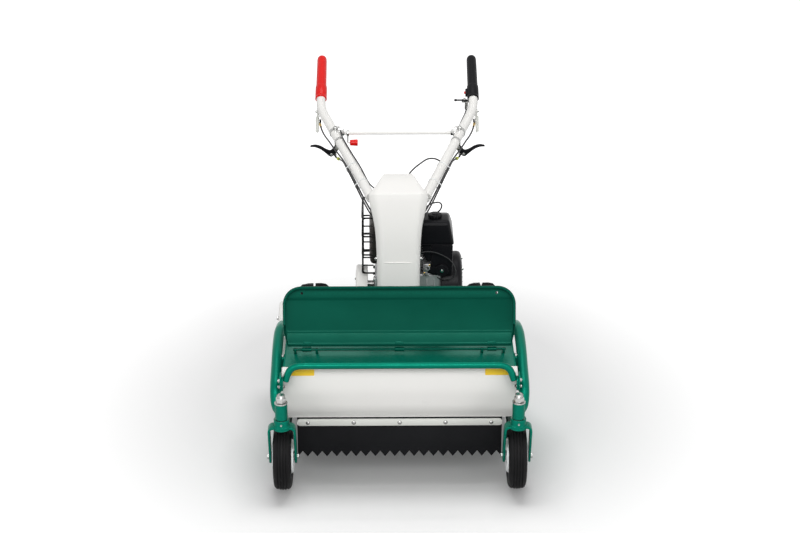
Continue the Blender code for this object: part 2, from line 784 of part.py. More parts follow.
def rotor():
    """The drum on its shaft, with the rows of swinging knives at their working reach."""
    axis = ROTOR
    made = rod("rotor", (-DRUM_HALF_LENGTH, *axis), (DRUM_HALF_LENGTH, *axis), DRUM_RADIUS, STEEL)
    left_end = PLATE_OUTER + 0.012
    right_end = -(abs(ROTOR_BELT_ACROSS) + PULLEY_HALF_WIDTH + 0.002)
    join(made, rod("rotor_shaft", (right_end, *axis), (left_end, *axis), SHAFT_RADIUS, STEEL))
    first = DRUM_HALF_LENGTH - 0.030
    pitch = 2 * first / (KNIFE_STATIONS * KNIFE_ROWS - 1)
    for n in range(KNIFE_STATIONS * KNIFE_ROWS):
        across = -first + n * pitch
        angle = 2 * math.pi * (n % KNIFE_ROWS) / KNIFE_ROWS + FIRST_KNIFE_ANGLE
        join(made, knife(n, across, angle))
    hang(pivot("rotor_axis", (0, *axis)), made)


def knife(number, across, angle):
    """One knife as a bar that stands out from the drum to the swing radius."""
    low, high = DRUM_RADIUS - 0.008, SWING_RADIUS
    shape = bmesh.new()
    bmesh.ops.create_cube(shape, size=1.0)
    bmesh.ops.scale(shape, vec=(KNIFE_THICKNESS, KNIFE_WIDTH, high - low), verts=shape.verts)
    bmesh.ops.translate(shape, vec=(0, 0, (high + low) / 2), verts=shape.verts)
    mesh = bpy.data.meshes.new("knife")
    shape.to_mesh(mesh)
    shape.free()
    place = Matrix.Translation(at(across, ROTOR_BACK, ROTOR_UP)) @ Matrix.Rotation(angle, 4, "X")
    return put(f"knife_{number}", mesh, STEEL, place)


# Belt drive
def pulley_profile(radius, shaft, reach=PULLEY_HALF_WIDTH):
    """A grooved pulley's section, from its outer face round its rim to its inner face."""
    groove = radius - BELT_THICKNESS
    edge = radius + 0.004
    half = [(shaft, reach), (edge, reach), (groove, BELT_HALF_WIDTH - 0.002)]
    return half + [(r, -side) for r, side in reversed(half)]


def belt(name, first, second, first_radius, second_radius, across):
    """An endless belt round two pulleys, clear of the corners of their many-sided grooves."""
    inner = [r - BELT_THICKNESS + BELT_LIFT for r in (first_radius, second_radius)]
    outer = [r + BELT_THICKNESS for r in inner]
    made = plate(name, capsule(first, second, *outer, 10), 2 * (BELT_HALF_WIDTH - 0.0026), across, RUBBER)
    hole = plate(f"{name}_inside", capsule(first, second, *inner, 10), 0.05, across, RUBBER)
    return cut(made, hole)


def drive():
    steps = PULLEY_STEPS
    profile = pulley_profile(ENGINE_PULLEY, CRANK_RADIUS)
    solid = [(0.0, PULLEY_HALF_WIDTH)] + profile[1:-1] + [(0.0, -PULLEY_HALF_WIDTH)]
    engine_pulley = turned("engine_pulley", solid, (ENGINE_BELT_ACROSS, *CRANK), (1, 0, 0), steps, STEEL)
    stub_start = (ENGINE_BELT_ACROSS + PULLEY_HALF_WIDTH - 0.001, *CRANK)
    stub_end = (BLOCK_RIGHT + 0.020, *CRANK)
    join(engine_pulley, rod("crank_end", stub_start, stub_end, CRANK_RADIUS, STEEL))
    hang(pivot("crank_axis", (0, *CRANK)), engine_pulley)

    shaft_end = ENGINE_BELT_ACROSS + PULLEY_HALF_WIDTH + 0.004
    outer_end = ROTOR_BELT_ACROSS - PULLEY_HALF_WIDTH - 0.003
    shaft = rod("counter_shaft", (outer_end, *COUNTER), (shaft_end, *COUNTER), COUNTER_RADIUS, STEEL)
    ring = pulley_profile(COUNTER_PULLEY, COUNTER_RADIUS - 0.003)
    for n, across in enumerate((ENGINE_BELT_ACROSS, ROTOR_BELT_ACROSS)):
        join(shaft, turned(f"counter_pulley_{n}", ring, (across, *COUNTER), (1, 0, 0), steps, STEEL, True))
    hang(pivot("counter_axis", (0, *COUNTER)), shaft)

    ring = pulley_profile(ROTOR_PULLEY, clear(SHAFT_RADIUS, steps))
    rotor_pulley = turned("rotor_pulley", ring, (ROTOR_BELT_ACROSS, *ROTOR), (1, 0, 0), steps, STEEL, True)
    hang(pivot("rotor_pulley_axis", (0, *ROTOR)), rotor_pulley)

    belt("engine_belt", COUNTER, CRANK, COUNTER_PULLEY, ENGINE_PULLEY, ENGINE_BELT_ACROSS)
    belt("rotor_belt", ROTOR, COUNTER, ROTOR_PULLEY, COUNTER_PULLEY, ROTOR_BELT_ACROSS)


def belt_cover(name, first, second, radii, closed_side, open_side, holes=()):
    """A shallow pan over a pair of pulleys: an outline with a wall, open towards the machine."""
    inner = [r - COVER_WALL for r in radii]
    middle = (closed_side + open_side) / 2
    depth = abs(open_side - closed_side)
    made = plate(name, capsule(first, second, *radii, 8), depth, middle, WHITE)
    way = 1 if open_side > closed_side else -1
    hollow_middle = middle + way * COVER_WALL
    cut(made, plate(f"{name}_hollow", capsule(first, second, *inner, 8), depth, hollow_middle, WHITE))
    for n, (centre, radius) in enumerate(holes):
        start, end = (closed_side - way * 0.01, *centre), (closed_side + way * 0.01, *centre)
        cut(made, rod(f"{name}_opening_{n}", start, end, radius, WHITE))
    return made


def belt_covers():
    outer = ROTOR_BELT_ACROSS - PULLEY_HALF_WIDTH - 0.007
    belt_cover("rotor_belt_cover", ROTOR, COUNTER, (0.082, 0.084), outer, -PLATE_OUTER - GAP)
    radii, hole = (0.068, 0.068), [(COUNTER, COUNTER_RADIUS + 0.003)]
    belt_cover("engine_belt_cover", COUNTER, CRANK, radii, ENGINE_COVER_OUTER, ENGINE_COVER_INNER, hole)


# Chassis
def engine_bed():
    """The flat bed with its rails, the tie to the deck, and the counter shaft's housing."""
    low, high = (-BED_HALF_WIDTH, BED_FRONT, BED_TOP - BED_SHEET), (BED_HALF_WIDTH, BED_REAR, BED_TOP)
    made = block("engine_bed", low, high, GREEN)
    rail_top = BED_TOP - BED_SHEET + 0.002
    tie_front = HOOD_REAR + GAP
    low, high = (-0.120, tie_front, FLAP_TOP + 0.003), (0.120, tie_front + 0.006, BED_TOP - 0.030)
    join(made, block("deck_tie", low, high, GREEN))
    for side, sign in SIDES.items():
        low = (sign * RAIL_ACROSS - RAIL_HALF, tie_front + 0.003, rail_top - 2 * RAIL_HALF)
        high = (sign * RAIL_ACROSS + RAIL_HALF, BED_REAR - 0.010, rail_top)
        join(made, block(f"rail_{side}", low, high, GREEN))
    start = (ROTOR_BELT_ACROSS + PULLEY_HALF_WIDTH + 0.006, *COUNTER)
    end = (ENGINE_COVER_OUTER - 0.003, *COUNTER)
    housing = rod("shaft_housing", start, end, 0.024, GREEN)
    web_half, arm_half = 0.014, 0.016
    low = (start[0] + 0.0305, COUNTER_BACK - web_half, BED_TOP - 0.003)
    high = (end[0] - 0.002, COUNTER_BACK + web_half, COUNTER_UP - 0.010)
    web = block("housing_web", low, high, GREEN)
    low = (start[0] + 0.0355, COUNTER_BACK - arm_half, BED_TOP - 0.020)
    high = (end[0], COUNTER_BACK + arm_half, BED_TOP + 0.004)
    arm = block("housing_arm", low, high, GREEN)
    join(made, housing, web, arm)
    cut(made, bore("housing_bore", (-0.5, *COUNTER), (-0.06, *COUNTER), COUNTER_RADIUS))
    slot_low = (ENGINE_COVER_OUTER - 0.0005, BED_FRONT - 0.01, BED_TOP - 0.05)
    slot_high = (ENGINE_COVER_INNER + 0.0005, CRANK_BACK - 0.066, BED_TOP + 0.01)
    cut(made, block("belt_slot", slot_low, slot_high, STEEL))


# Engine
def engine_block():
    low, high = (BLOCK_RIGHT, ENGINE_FRONT, BED_TOP + GAP), (BLOCK_LEFT, ENGINE_REAR, BLOCK_TOP)
    made = block("engine_block", low, high, ALUMINIUM, 0.008, 1)
    (right, left), (front, rear) = CYLINDER_SIDES, CYLINDER_ENDS
    low, high = (right, front, BLOCK_TOP - 0.015), (left, rear, TANK_BOTTOM - GAP)
    join(made, block("cylinder", low, high, ALUMINIUM, 0.006, 1))
    mouth, depth = BLOCK_RIGHT - 0.02, BLOCK_RIGHT + 0.022
    cut(made, bore("crank_bore", (mouth, *CRANK), (depth, *CRANK), CRANK_RADIUS))


def fan_housing():
    left = BLOCK_LEFT + GAP
    profile = [
        (0.0, 0.072),
        (FAN_RADIUS - 0.017, 0.072),
        (FAN_RADIUS - 0.005, 0.066),
        (FAN_RADIUS, 0.056),
        (FAN_RADIUS, 0.0),
        (0.0, 0.0),
    ]
    made = turned("fan_housing", profile, (left, *CRANK), (1, 0, 0), 28, BLACK)
    back, up = CRANK_BACK - 0.030, CRANK_UP - 0.023
    stem_radius, stem_end = 0.0065, left + 0.075
    start, end = (left + 0.045, back, up), (left + 0.080, back, up)
    cut(made, bore("recoil_port", start, end, stem_radius + 0.0001, 12))
    grip = rod("recoil_grip", (left + 0.047, back, up), (stem_end, back, up), stem_radius, BLACK, 12)
    bar_half_length, bar_half_height = 0.020, 0.0085
    bar_low = (stem_end - 0.0005, back - bar_half_length, up - bar_half_height)
    bar_high = (stem_end + 0.0135, back + bar_half_length, up + bar_half_height)
    join(grip, block("recoil_bar", bar_low, bar_high, BLACK, 0.004, 1))
    hang(pivot("recoil_pull", (stem_end, back, up)), grip)


def fuel_tank():
    slope = [
        (TANK_FRONT, TANK_BOTTOM),
        (TANK_FRONT + 0.180, TANK_BOTTOM),
        (TANK_FRONT + 0.190, TANK_BOTTOM + 0.020),
        (TANK_FRONT + 0.110, TANK_TOP - 0.012),
        (TANK_FRONT + 0.070, TANK_TOP),
        (TANK_FRONT + 0.012, TANK_TOP),
        (TANK_FRONT, TANK_TOP - 0.010),
    ]
    left, right = 0.190, -0.012
    made = plate("fuel_tank", slope, left - right, (left + right) / 2, BLACK)
    round_edges(made, 0.006, 1)
    cap_place = (0.126, TANK_FRONT + 0.040)
    neck_radius, neck_up, steps = 0.018, 0.005, 20
    low, high = (*cap_place, TANK_TOP - 0.004), (*cap_place, TANK_TOP + neck_up)
    join(made, rod("tank_neck", low, high, neck_radius, BLACK))
    cap_radius, cap_up = 0.0235, 0.0145
    inside, roof = clear(neck_radius, steps), neck_up + 0.0005 + GAP
    cap_profile = [
        (0.0, cap_up),
        (cap_radius - 0.0045, cap_up),
        (cap_radius, cap_up - 0.0035),
        (cap_radius, GAP),
        (inside, GAP),
        (inside, roof),
        (0.0, roof),
    ]
    cap = turned("fuel_cap", cap_profile, (*cap_place, TANK_TOP), (0, 0, 1), steps, BLACK)
    hang(pivot("fuel_cap_axis", (*cap_place, TANK_TOP)), cap)


def engine_front():
    """The cooling shroud under the tank, and the carburettor in front of it."""
    low, high = (0.112, TANK_FRONT + 0.004, ENGINE_TOP), (0.187, ENGINE_FRONT + 0.0075, TANK_BOTTOM - GAP)
    block("engine_shroud", low, high, BLACK, 0.006, 1)
    low, high = (0.086, TANK_FRONT - 0.004, ENGINE_TOP), (0.1115, ENGINE_FRONT + 0.020, BLOCK_TOP + 0.045)
    body = block("carburettor", low, high, ALUMINIUM, 0.004, 1)
    knob_across, knob_up, plate_half = 0.150, BLOCK_TOP + 0.023, 0.012
    knob_start = (knob_across, TANK_FRONT - 0.006, knob_up)
    knob_end = (knob_across, TANK_FRONT + 0.0035, knob_up)
    low = (0.100, TANK_FRONT - 0.003, knob_up - plate_half)
    high = (knob_across, TANK_FRONT + 0.003, knob_up + plate_half)
    arm = block("choke_plate", low, high, BLACK)
    join(body, arm, rod("choke_knob", knob_start, knob_end, 0.022, BLACK))


def muffler():
    front, rear = ENGINE_FRONT + 0.040, ENGINE_REAR - 0.010
    bottom, top = BLOCK_TOP + 0.015, BLOCK_TOP + 0.170
    low, high = (MUFFLER_SIDE, front, bottom), (CYLINDER_SIDES[0] - 0.0005, rear, top)
    made = block("muffler", low, high, BLACK_PAINT, 0.016)
    low, high = (-0.070, front + 0.050, ENGINE_TOP), (-0.034, rear - 0.050, bottom + 0.010)
    join(made, block("muffler_foot", low, high, BLACK_PAINT))


def muffler_guard():
    """A cage of wire round the muffler's outer side, with a lug at each end of its lowest wire."""
    wire = 0.003
    outer, inner = -0.124, -0.085
    front, rear = ENGINE_FRONT + 0.022, ENGINE_REAR - 0.004
    bottom, top = BLOCK_TOP - 0.007, BLOCK_TOP + 0.200
    rungs = 4
    corner = 0.012
    route = [(inner, front), (outer + corner, front), (outer, front + corner)]
    route += [(outer, rear - corner), (outer + corner, rear), (inner, rear)]
    wires = []
    for n in range(rungs):
        height = bottom + (top - bottom) * n / (rungs - 1)
        name = "muffler_guard" if n == 0 else f"guard_wire_{n}"
        wires.append(tube(name, [(x, y, height) for x, y in route], wire, BLACK_PAINT, 1))
    made = join(wires[0], *wires[1:])
    across = outer + 0.0012
    for n, y in enumerate((front + 0.040, rear - 0.040)):
        low, high = (across, y, bottom - 0.006), (across, y, top + 0.005)
        join(made, rod(f"guard_post_{n}", low, high, wire, BLACK_PAINT, 6))
    for n, y in enumerate((front, rear)):
        low, high = (inner - 0.003, y - 0.005, bottom - 0.005), (BLOCK_RIGHT - GAP, y + 0.005, bottom + 0.002)
        join(made, block(f"guard_lug_{n}", low, high, BLACK_PAINT))


# Column
def cover_rows():
    """The cover's front outline, row by row: half width, half width of its face, back, up."""
    return [
        (0.0720, 0.0600, 0.478, 0.405),
        (0.0735, 0.0610, 0.506, 0.560),
        (0.0800, 0.0630, 0.525, 0.670),
        (0.0980, 0.0720, 0.545, 0.755),
        (0.1000, 0.0780, 0.556, 0.790),
        (0.0760, 0.0640, 0.610, 0.806),
        (0.0540, 0.0500, 0.660, 0.820),
    ]


def column_cover():
    """A folded sheet cover: a flat face, a bevel fold and a side wall on each side."""
    shape = bmesh.new()
    rows = []
    for n, (side, face, back, up) in enumerate(cover_rows()):
        upper = n >= 4
        fold_back, fold_up = (back, up - 0.006) if upper else (back + 0.018, up)
        wall_back, wall_up = (back, up - 0.016) if upper else (back + 0.040, up - 0.004)
        if n == 4:
            fold_back, fold_up = back + 0.014, up - 0.006
            wall_back, wall_up = back + 0.026, up - 0.016
        half = [(face, back, up), (side, fold_back, fold_up), (side, wall_back, wall_up)]
        row = [(-x, y, z) for x, y, z in reversed(half)] + half
        rows.append([shape.verts.new(at(*p)) for p in row])
    for low, high in zip(rows, rows[1:]):
        for n in range(len(low) - 1):
            shape.faces.new((low[n], low[n + 1], high[n + 1], high[n]))
    bmesh.ops.recalc_face_normals(shape, faces=shape.faces)
    mesh = bpy.data.meshes.new("column_cover")
    shape.to_mesh(mesh)
    shape.free()
    made = put("column_cover", mesh, WHITE)
    wall(made, COVER_SHEET, -1.0)


def column_frame():
    """The post under the cover, its foot on the bed, and the head that holds the handle."""
    foot_up = BED_TOP + GAP
    head_back, head_up, post_top = TUBE_FOOT[1] + 0.006, TUBE_FOOT[2], TUBE_FOOT[2] + 0.009
    outline = [(0.534, foot_up + 0.004), (0.582, foot_up + 0.004), (0.626, post_top), (0.586, post_top)]
    made = plate("column_frame", outline, 0.060, 0.0, WHITE)
    foot_low, foot_high = (-0.062, BED_FRONT + 0.004, foot_up), (0.062, 0.5985, foot_up + 0.008)
    join(made, block("column_foot", foot_low, foot_high, WHITE))
    end = TUBE_FOOT[0] - TUBE_RADIUS * math.sqrt(1 - TUBE_WAY.x**2) - GAP - 0.0002
    start = (-end, head_back, head_up)
    join(made, rod("column_head", start, (end, head_back, head_up), 0.016, WHITE))
    tied_row = cover_rows()[1]
    tie_end = tied_row[0] - COVER_SHEET - GAP - 0.0002
    tie_back, tie_up = tied_row[2] + 0.032, tied_row[3]
    start = (-tie_end, tie_back, tie_up)
    join(made, rod("cover_tie", start, (tie_end, tie_back, tie_up), 0.007, WHITE, 12))
    low, high = (-0.016, tie_back - 0.001, tie_up - 0.004), (0.016, 0.575, tie_up + 0.004)
    join(made, block("tie_stay", low, high, WHITE))


# Handle
def tube_route(sign):
    """The handle tube's middle line, from the column head to inside the grip."""
    foot, bend = Vector(TUBE_FOOT), Vector(TUBE_BEND)
    start, finish = bend - TUBE_WAY * BEND_SWEEP, bend + GRIP_AXIS * BEND_SWEEP
    route = [foot]
    for step in range(5):
        t = step / 4
        route.append(start * (1 - t) ** 2 + bend * (2 * t * (1 - t)) + finish * t**2)
    route.append(bend + GRIP_AXIS * (GRIP_START + GRIP_LENGTH - 0.012))
    return [(sign * p.x, p.y, p.z) for p in route]


def tube_at(back):
    """The middle of the handle tube at a distance back, before its bend."""
    share = (back - TUBE_FOOT[1]) / (TUBE_BEND[1] - TUBE_FOOT[1])
    return [a + (b - a) * share for a, b in zip(TUBE_FOOT, TUBE_BEND)]


def handle_tube(side, sign):
    made = tube(f"handle_tube_{side}", tube_route(sign), TUBE_RADIUS, WHITE, 3)
    across, _, up = tube_at(CROSSBAR_BACK)
    boss_length = 0.026
    start = (sign * (across - boss_length), CROSSBAR_BACK, up)
    join(made, rod(f"crossbar_boss_{side}", start, (sign * across, CROSSBAR_BACK, up), 0.0115, ZINC))
    mouth = (sign * (across - boss_length - 0.004), CROSSBAR_BACK, up)
    end = (sign * (across - BOSS_DEPTH), CROSSBAR_BACK, up)
    cut(made, bore(f"boss_bore_{side}", mouth, end, CROSSBAR_RADIUS, 14))
    join(made, *lever_mount(side, sign), *hand_lever_mount(side, sign))
    if side == "left":
        join(made, *throttle_mount())


def lever_mount(side, sign):
    """The bracket, pin and pin head that a side clutch lever turns on."""
    front, rear = LEVER_BACK - LEVER_SHEET / 2 - GAP, LEVER_BACK + LEVER_SHEET / 2 + GAP
    x, z = sign * LEVER_PIVOT[0], LEVER_PIVOT[1]
    low, high = (x - 0.011, rear, z - 0.010), (x + 0.011, rear + 0.0057, z + 0.030)
    return (
        block(f"lever_bracket_{side}", low, high, ZINC),
        rod(f"lever_pin_{side}", (x, front - 0.002, z), (x, rear + 0.0037, z), LEVER_PIN, ZINC, 12),
        rod(f"lever_pin_head_{side}", (x, front - 0.004, z), (x, front, z), 0.007, ZINC, 6),
    )


def hand_lever_mount(side, sign):
    """The ear, pin and pin head that the lever under the grip turns on."""
    y, z = HAND_PIVOT
    inner, outer = HAND_ACROSS - HAND_SHEET / 2 - GAP, HAND_ACROSS + HAND_SHEET / 2 + GAP
    ear = rounded_box((y - 0.012, z - 0.011), (y + 0.012, z + 0.034), 0.004, 2)
    pin_start, pin_end = (sign * (inner - 0.001), y, z), (sign * (outer + 0.001), y, z)
    head_start, head_end = (sign * outer, y, z), (sign * (outer + 0.003), y, z)
    return (
        plate(f"hand_ear_{side}", ear, 0.004, sign * (inner - 0.002), ZINC),
        rod(f"hand_pin_{side}", pin_start, pin_end, HAND_PIN, ZINC, 12),
        rod(f"hand_pin_head_{side}", head_start, head_end, 0.0065, ZINC, 6),
    )


def throttle_mount():
    """The bracket, pin and pin head that the throttle lever turns on."""
    x, y = THROTTLE_PIVOT
    up = THROTTLE_UP
    low, high = (x - 0.010, y - 0.012, up - 0.014), (0.268, y + 0.012, up)
    return (
        block("throttle_bracket", low, high, ZINC),
        rod("throttle_pin", (x, y, up - 0.002), (x, y, up + 0.0058), THROTTLE_PIN, ZINC, 12),
        rod("throttle_pin_head", (x, y, up + 0.0056), (x, y, up + 0.0085), 0.006, ZINC, 6),
    )


def grip(side, sign):
    inside = clear(TUBE_RADIUS, GRIP_STEPS)
    length = GRIP_LENGTH
    start = Vector(TUBE_BEND) + GRIP_AXIS * GRIP_START
    profile = [
        (0.0, length),
        (GRIP_DOME_RADIUS, length - GRIP_DOME_DROP),
        (0.014, length - 0.005),
        (0.0172, length - 0.011),
        (GRIP_RADIUS - 0.001, length - 0.020),
        (GRIP_RADIUS, GRIP_COLLAR + 0.004),
        (GRIP_COLLAR_RADIUS - 0.001, GRIP_COLLAR),
        (GRIP_COLLAR_RADIUS, GRIP_COLLAR - 0.004),
        (GRIP_COLLAR_RADIUS, 0.0),
        (inside, 0.0),
        (inside, length - 0.011),
        (0.0, length - 0.011),
    ]
    place = (sign * start.x, start.y, start.z)
    turned(f"grip_{side}", profile, place, GRIP_AXIS, GRIP_STEPS, BLACK if side == "left" else RED)


def side_lever(side, sign):
    """A side clutch lever: a bent blade on a pin under the handle tube."""
    outline = [
        (0.2015, 0.806),
        (0.2045, 0.815),
        (0.213, 0.8175),
        (0.223, 0.810),
        (0.236, 0.793),
        (0.252, 0.799),
        (0.272, 0.812),
        (0.290, 0.8165),
        (0.307, 0.813),
        (0.3085, 0.807),
        (0.292, 0.807),
        (0.274, 0.800),
        (0.256, 0.786),
        (0.240, 0.771),
        (0.231, 0.770),
        (0.211, 0.794),
    ]
    points = [(sign * x, z) for x, z in outline]
    if sign < 0:
        points.reverse()
    hole = [((sign * LEVER_PIVOT[0], LEVER_PIVOT[1]), LEVER_PIN)]
    made = front_plate(f"side_clutch_lever_{side}", points, LEVER_SHEET, LEVER_BACK, BLACK_PAINT, hole)
    hang(pivot(f"side_lever_axis_{side}", (sign * LEVER_PIVOT[0], LEVER_BACK, LEVER_PIVOT[1])), made)


def hand_lever(side, sign):
    """The lever under the grip: a long arm to squeeze and a short blade in front."""
    outline = [
        (1.088, 0.812),
        (1.094, 0.806),
        (1.126, 0.838),
        (1.146, 0.854),
        (1.164, 0.858),
        (1.215, 0.868),
        (1.330, 0.922),
        (1.334, 0.928),
        (1.326, 0.932),
        (1.212, 0.879),
        (1.160, 0.873),
        (1.142, 0.870),
        (1.118, 0.848),
    ]
    hole = [(HAND_PIVOT, HAND_PIN)]
    made = plate(f"hand_lever_{side}", outline, HAND_SHEET, sign * HAND_ACROSS, WHITE, hole)
    hang(pivot(f"hand_lever_axis_{side}", (sign * HAND_ACROSS, *HAND_PIVOT)), made)


def throttle_lever():
    x, y = THROTTLE_PIVOT
    low, high = THROTTLE_UP + GAP, THROTTLE_UP + GAP + 0.005
    made = rod("throttle_lever", (x, y, low), (x, y, high), 0.009, BLACK)
    near, far = (x - 0.036, y - 0.004, low + 0.0008), (x - 0.002, y + 0.004, high - 0.0008)
    join(made, block("throttle_arm", near, far, BLACK))
    cut(made, bore("throttle_hole", (x, y, low - 0.01), (x, y, high + 0.01), THROTTLE_PIN, 12))
    hang(pivot("throttle_axis", (x, y, low)), made)


def crossbar():
    across, _, up = tube_at(CROSSBAR_BACK)
    end = across - BOSS_DEPTH - GAP
    rod("crossbar", (-end, CROSSBAR_BACK, up), (end, CROSSBAR_BACK, up), CROSSBAR_RADIUS, WHITE, 14)


def shift_lever():
    """A hub that turns on the crossbar, with a bent stem and a round knob."""
    back, up = CROSSBAR_BACK, tube_at(CROSSBAR_BACK)[2]
    middle, half, near, reach = -0.1755, 0.0045, 0.0070, 0.026
    made = rod("shift_lever", (middle - half, back, up), (middle + half, back, up), 0.0115, ZINC)
    elbow = (back - reach, up - reach)
    route = [(middle, back - near, up - near), (middle, *elbow), (middle + 0.0115, *elbow)]
    stem = tube("shift_stem", route, 0.003, ZINC, 1)
    knob = rod("shift_knob", (middle + 0.0075, *elbow), (middle + 0.0355, *elbow), 0.0105, RED, 16, 0.0120)
    join(made, stem, knob)
    start, end = (middle - 2 * half, back, up), (middle + 2 * half, back, up)
    cut(made, bore("shift_hole", start, end, CROSSBAR_RADIUS, 14))
    hang(pivot("shift_axis", (middle, back, up)), made)


# Cables
def cables():
    """The control cables, from under the levers down behind the column to the bed."""
    bed = BED_TOP + GAP + 0.0002
    route = [
        (0.2790, 1.128, 0.8260),
        (0.2700, 1.080, 0.8175),
        (0.2580, 1.030, 0.8150),
        (0.2430, 0.980, 0.8150),
        (0.2290, 0.932, 0.8140),
        (0.2100, 0.880, 0.8090),
        (0.1905, 0.830, 0.8030),
        (0.1740, 0.782, 0.7940),
        (0.1580, 0.735, 0.7840),
        (0.1405, 0.684, 0.7700),
        (0.1190, 0.634, 0.7460),
        (0.0950, 0.606, 0.7120),
        (0.0700, 0.600, 0.6760),
        (0.0560, 0.600, 0.6200),
        (0.0500, 0.602, 0.5000),
        (0.0480, 0.604, 0.3800),
        (0.0480, 0.608, bed),
    ]
    for side, sign in SIDES.items():
        places = [(sign * x, y, z) for x, y, z in route]
        tube(f"clutch_cable_{side}", smooth_route(places, 2), CABLE_RADIUS, RUBBER, 2)


# Deck frame
def pipe_route(sign):
    beside = DECK_HALF_WIDTH
    route = [
        (beside + 0.006, -0.027, 0.290),
        (beside + 0.016, -0.008, 0.297),
        (beside + 0.021, 0.014, 0.320),
        (beside + 0.022, 0.042, 0.345),
        (beside + 0.022, 0.110, 0.368),
        (beside + 0.022, 0.200, 0.393),
        (beside + 0.021, 0.280, 0.404),
        (beside + 0.0175, 0.330, 0.402),
        (beside + 0.0165, 0.390, 0.382),
        (beside + 0.0165, 0.440, 0.356),
    ]
    return [(sign * x, y, z) for x, y, z in smooth_route(route, 2)]


def side_pipe(side, sign):
    """The bent pipe along a side, the caster's sleeve at its nose and the tab for the bumper."""
    made = tube(f"side_pipe_{side}", pipe_route(sign), SIDE_PIPE_RADIUS, GREEN, 3)
    centre = (sign * CASTER_ACROSS, -CASTER_TRAIL)
    low, high = (*centre, SLEEVE_BOTTOM), (*centre, SLEEVE_TOP)
    join(made, rod(f"caster_sleeve_{side}", low, high, SLEEVE_RADIUS, GREEN))
    low, high = (*centre, SLEEVE_BOTTOM - 0.02), (*centre, SLEEVE_TOP + 0.02)
    cut(made, bore(f"sleeve_bore_{side}", low, high, SPINDLE_RADIUS))
    tab = rounded_box((0.000, 0.340), (0.036, 0.398), 0.006, 2)
    join(made, plate(f"bumper_tab_{side}", tab, TAB_SHEET, sign * TAB_ACROSS, GREEN))
    inner, outer = sign * (PLATE_OUTER + GAP), sign * (DECK_HALF_WIDTH + 0.013)
    join(made, block(f"deck_lug_{side}", (inner, 0.150, 0.352), (outer, 0.185, 0.384), GREEN))
    join(made, block(f"rear_lug_{side}", (inner, 0.345, 0.366), (outer, 0.395, 0.372), GREEN))


def bumper():
    """The thin pipe across the nose, bent down at its ends to flat bolted feet."""
    foot = TAB_ACROSS - TAB_SHEET - GAP
    straight = DECK_HALF_WIDTH - 0.075
    half = [(straight, 0.030, 0.421), (straight + 0.030, 0.030, 0.418)]
    half += [(straight + 0.050, 0.026, 0.405), (foot - 0.0095, 0.018, 0.372)]
    route = [(-x, y, z) for x, y, z in reversed(half)] + half
    made = tube("bumper_pipe", route, BUMPER_RADIUS, GREEN, 3)
    for side, sign in SIDES.items():
        outline = rounded_box((0.002, 0.342), (0.034, 0.384), 0.006, 2)
        join(made, plate(f"bumper_foot_{side}", outline, TAB_SHEET, sign * foot, GREEN))


def guard():
    """The raised front guard: a tray that hinges on a rod across the deck."""
    length, half, sheet = GUARD_LENGTH, GUARD_HALF_WIDTH, GUARD_SHEET
    low, corner, inset, shoulder = 0.010, 0.055, 0.014, 0.070
    outline = [(-half + inset, low), (half - inset, low), (half, shoulder)]
    outline += arc((half - corner, length - corner), corner, 0, 90, 4)
    outline += arc((-half + corner, length - corner), corner, 90, 180, 4)
    outline.append((-half, shoulder))
    place = Matrix.Translation(at(0, *HINGE)) @ Matrix.Rotation(math.radians(GUARD_LEAN), 4, "X")
    made = flat("guard_plate", outline, GUARD_RIM, place, GREEN)
    narrower = (half - sheet) / half
    shorter = (length - low - sheet) / (length - low)
    inner = [(x * narrower, max(low + (v - low) * shorter, low + sheet)) for x, v in outline]
    hollow_place = place @ Matrix.Translation((0, 0, sheet))
    cut(made, flat("guard_hollow", inner, GUARD_RIM, hollow_place, GREEN))
    knuckle_half, tongue_half = 0.015, 0.014
    for n, x in enumerate((-KNUCKLE_ACROSS, 0.0, KNUCKLE_ACROSS)):
        start, end = (x - knuckle_half, *HINGE), (x + knuckle_half, *HINGE)
        join(made, rod(f"guard_knuckle_{n}", start, end, HINGE_RADIUS + 0.003, GREEN, 12))
        tongue = block(f"guard_tongue_{n}", (x - tongue_half, 0, 0), (x + tongue_half, 0.016, 0.003), GREEN)
        tongue.matrix_world = place @ Matrix.Translation((x, 0.0090, -0.008))
        join(made, tongue)
    cut(made, bore("knuckle_bore", (-0.5, *HINGE), (0.5, *HINGE), HINGE_RADIUS, 10))
    hang(pivot("guard_axis", (0, *HINGE)), made)


def hinge_rod():
    """The guard's hinge rod with its feet on the deck, beside the knuckles."""
    outer_foot, inner_foot = KNUCKLE_ACROSS + 0.038, KNUCKLE_ACROSS - 0.032
    end = outer_foot + 0.007
    made = rod("guard_hinge_rod", (-end, *HINGE), (end, *HINGE), HINGE_RADIUS, ZINC, 10)
    for n, x in enumerate((-outer_foot, -inner_foot, inner_foot, outer_foot)):
        low = (x - 0.004, HINGE[0] - 0.0085, DECK_TOP + GAP)
        high = (x + 0.004, HINGE[0] + 0.012, HINGE[1] + 0.001)
        join(made, block(f"hinge_foot_{n}", low, high, GREEN))


def rear_flap():
    """A rubber flap behind the rotor, on the hood's rear lip."""
    front, half = HOOD_REAR + GAP, PLATE_INNER - 0.006
    block("rear_flap", (-half, front, 0.040), (half, front + 0.004, FLAP_TOP), RUBBER)


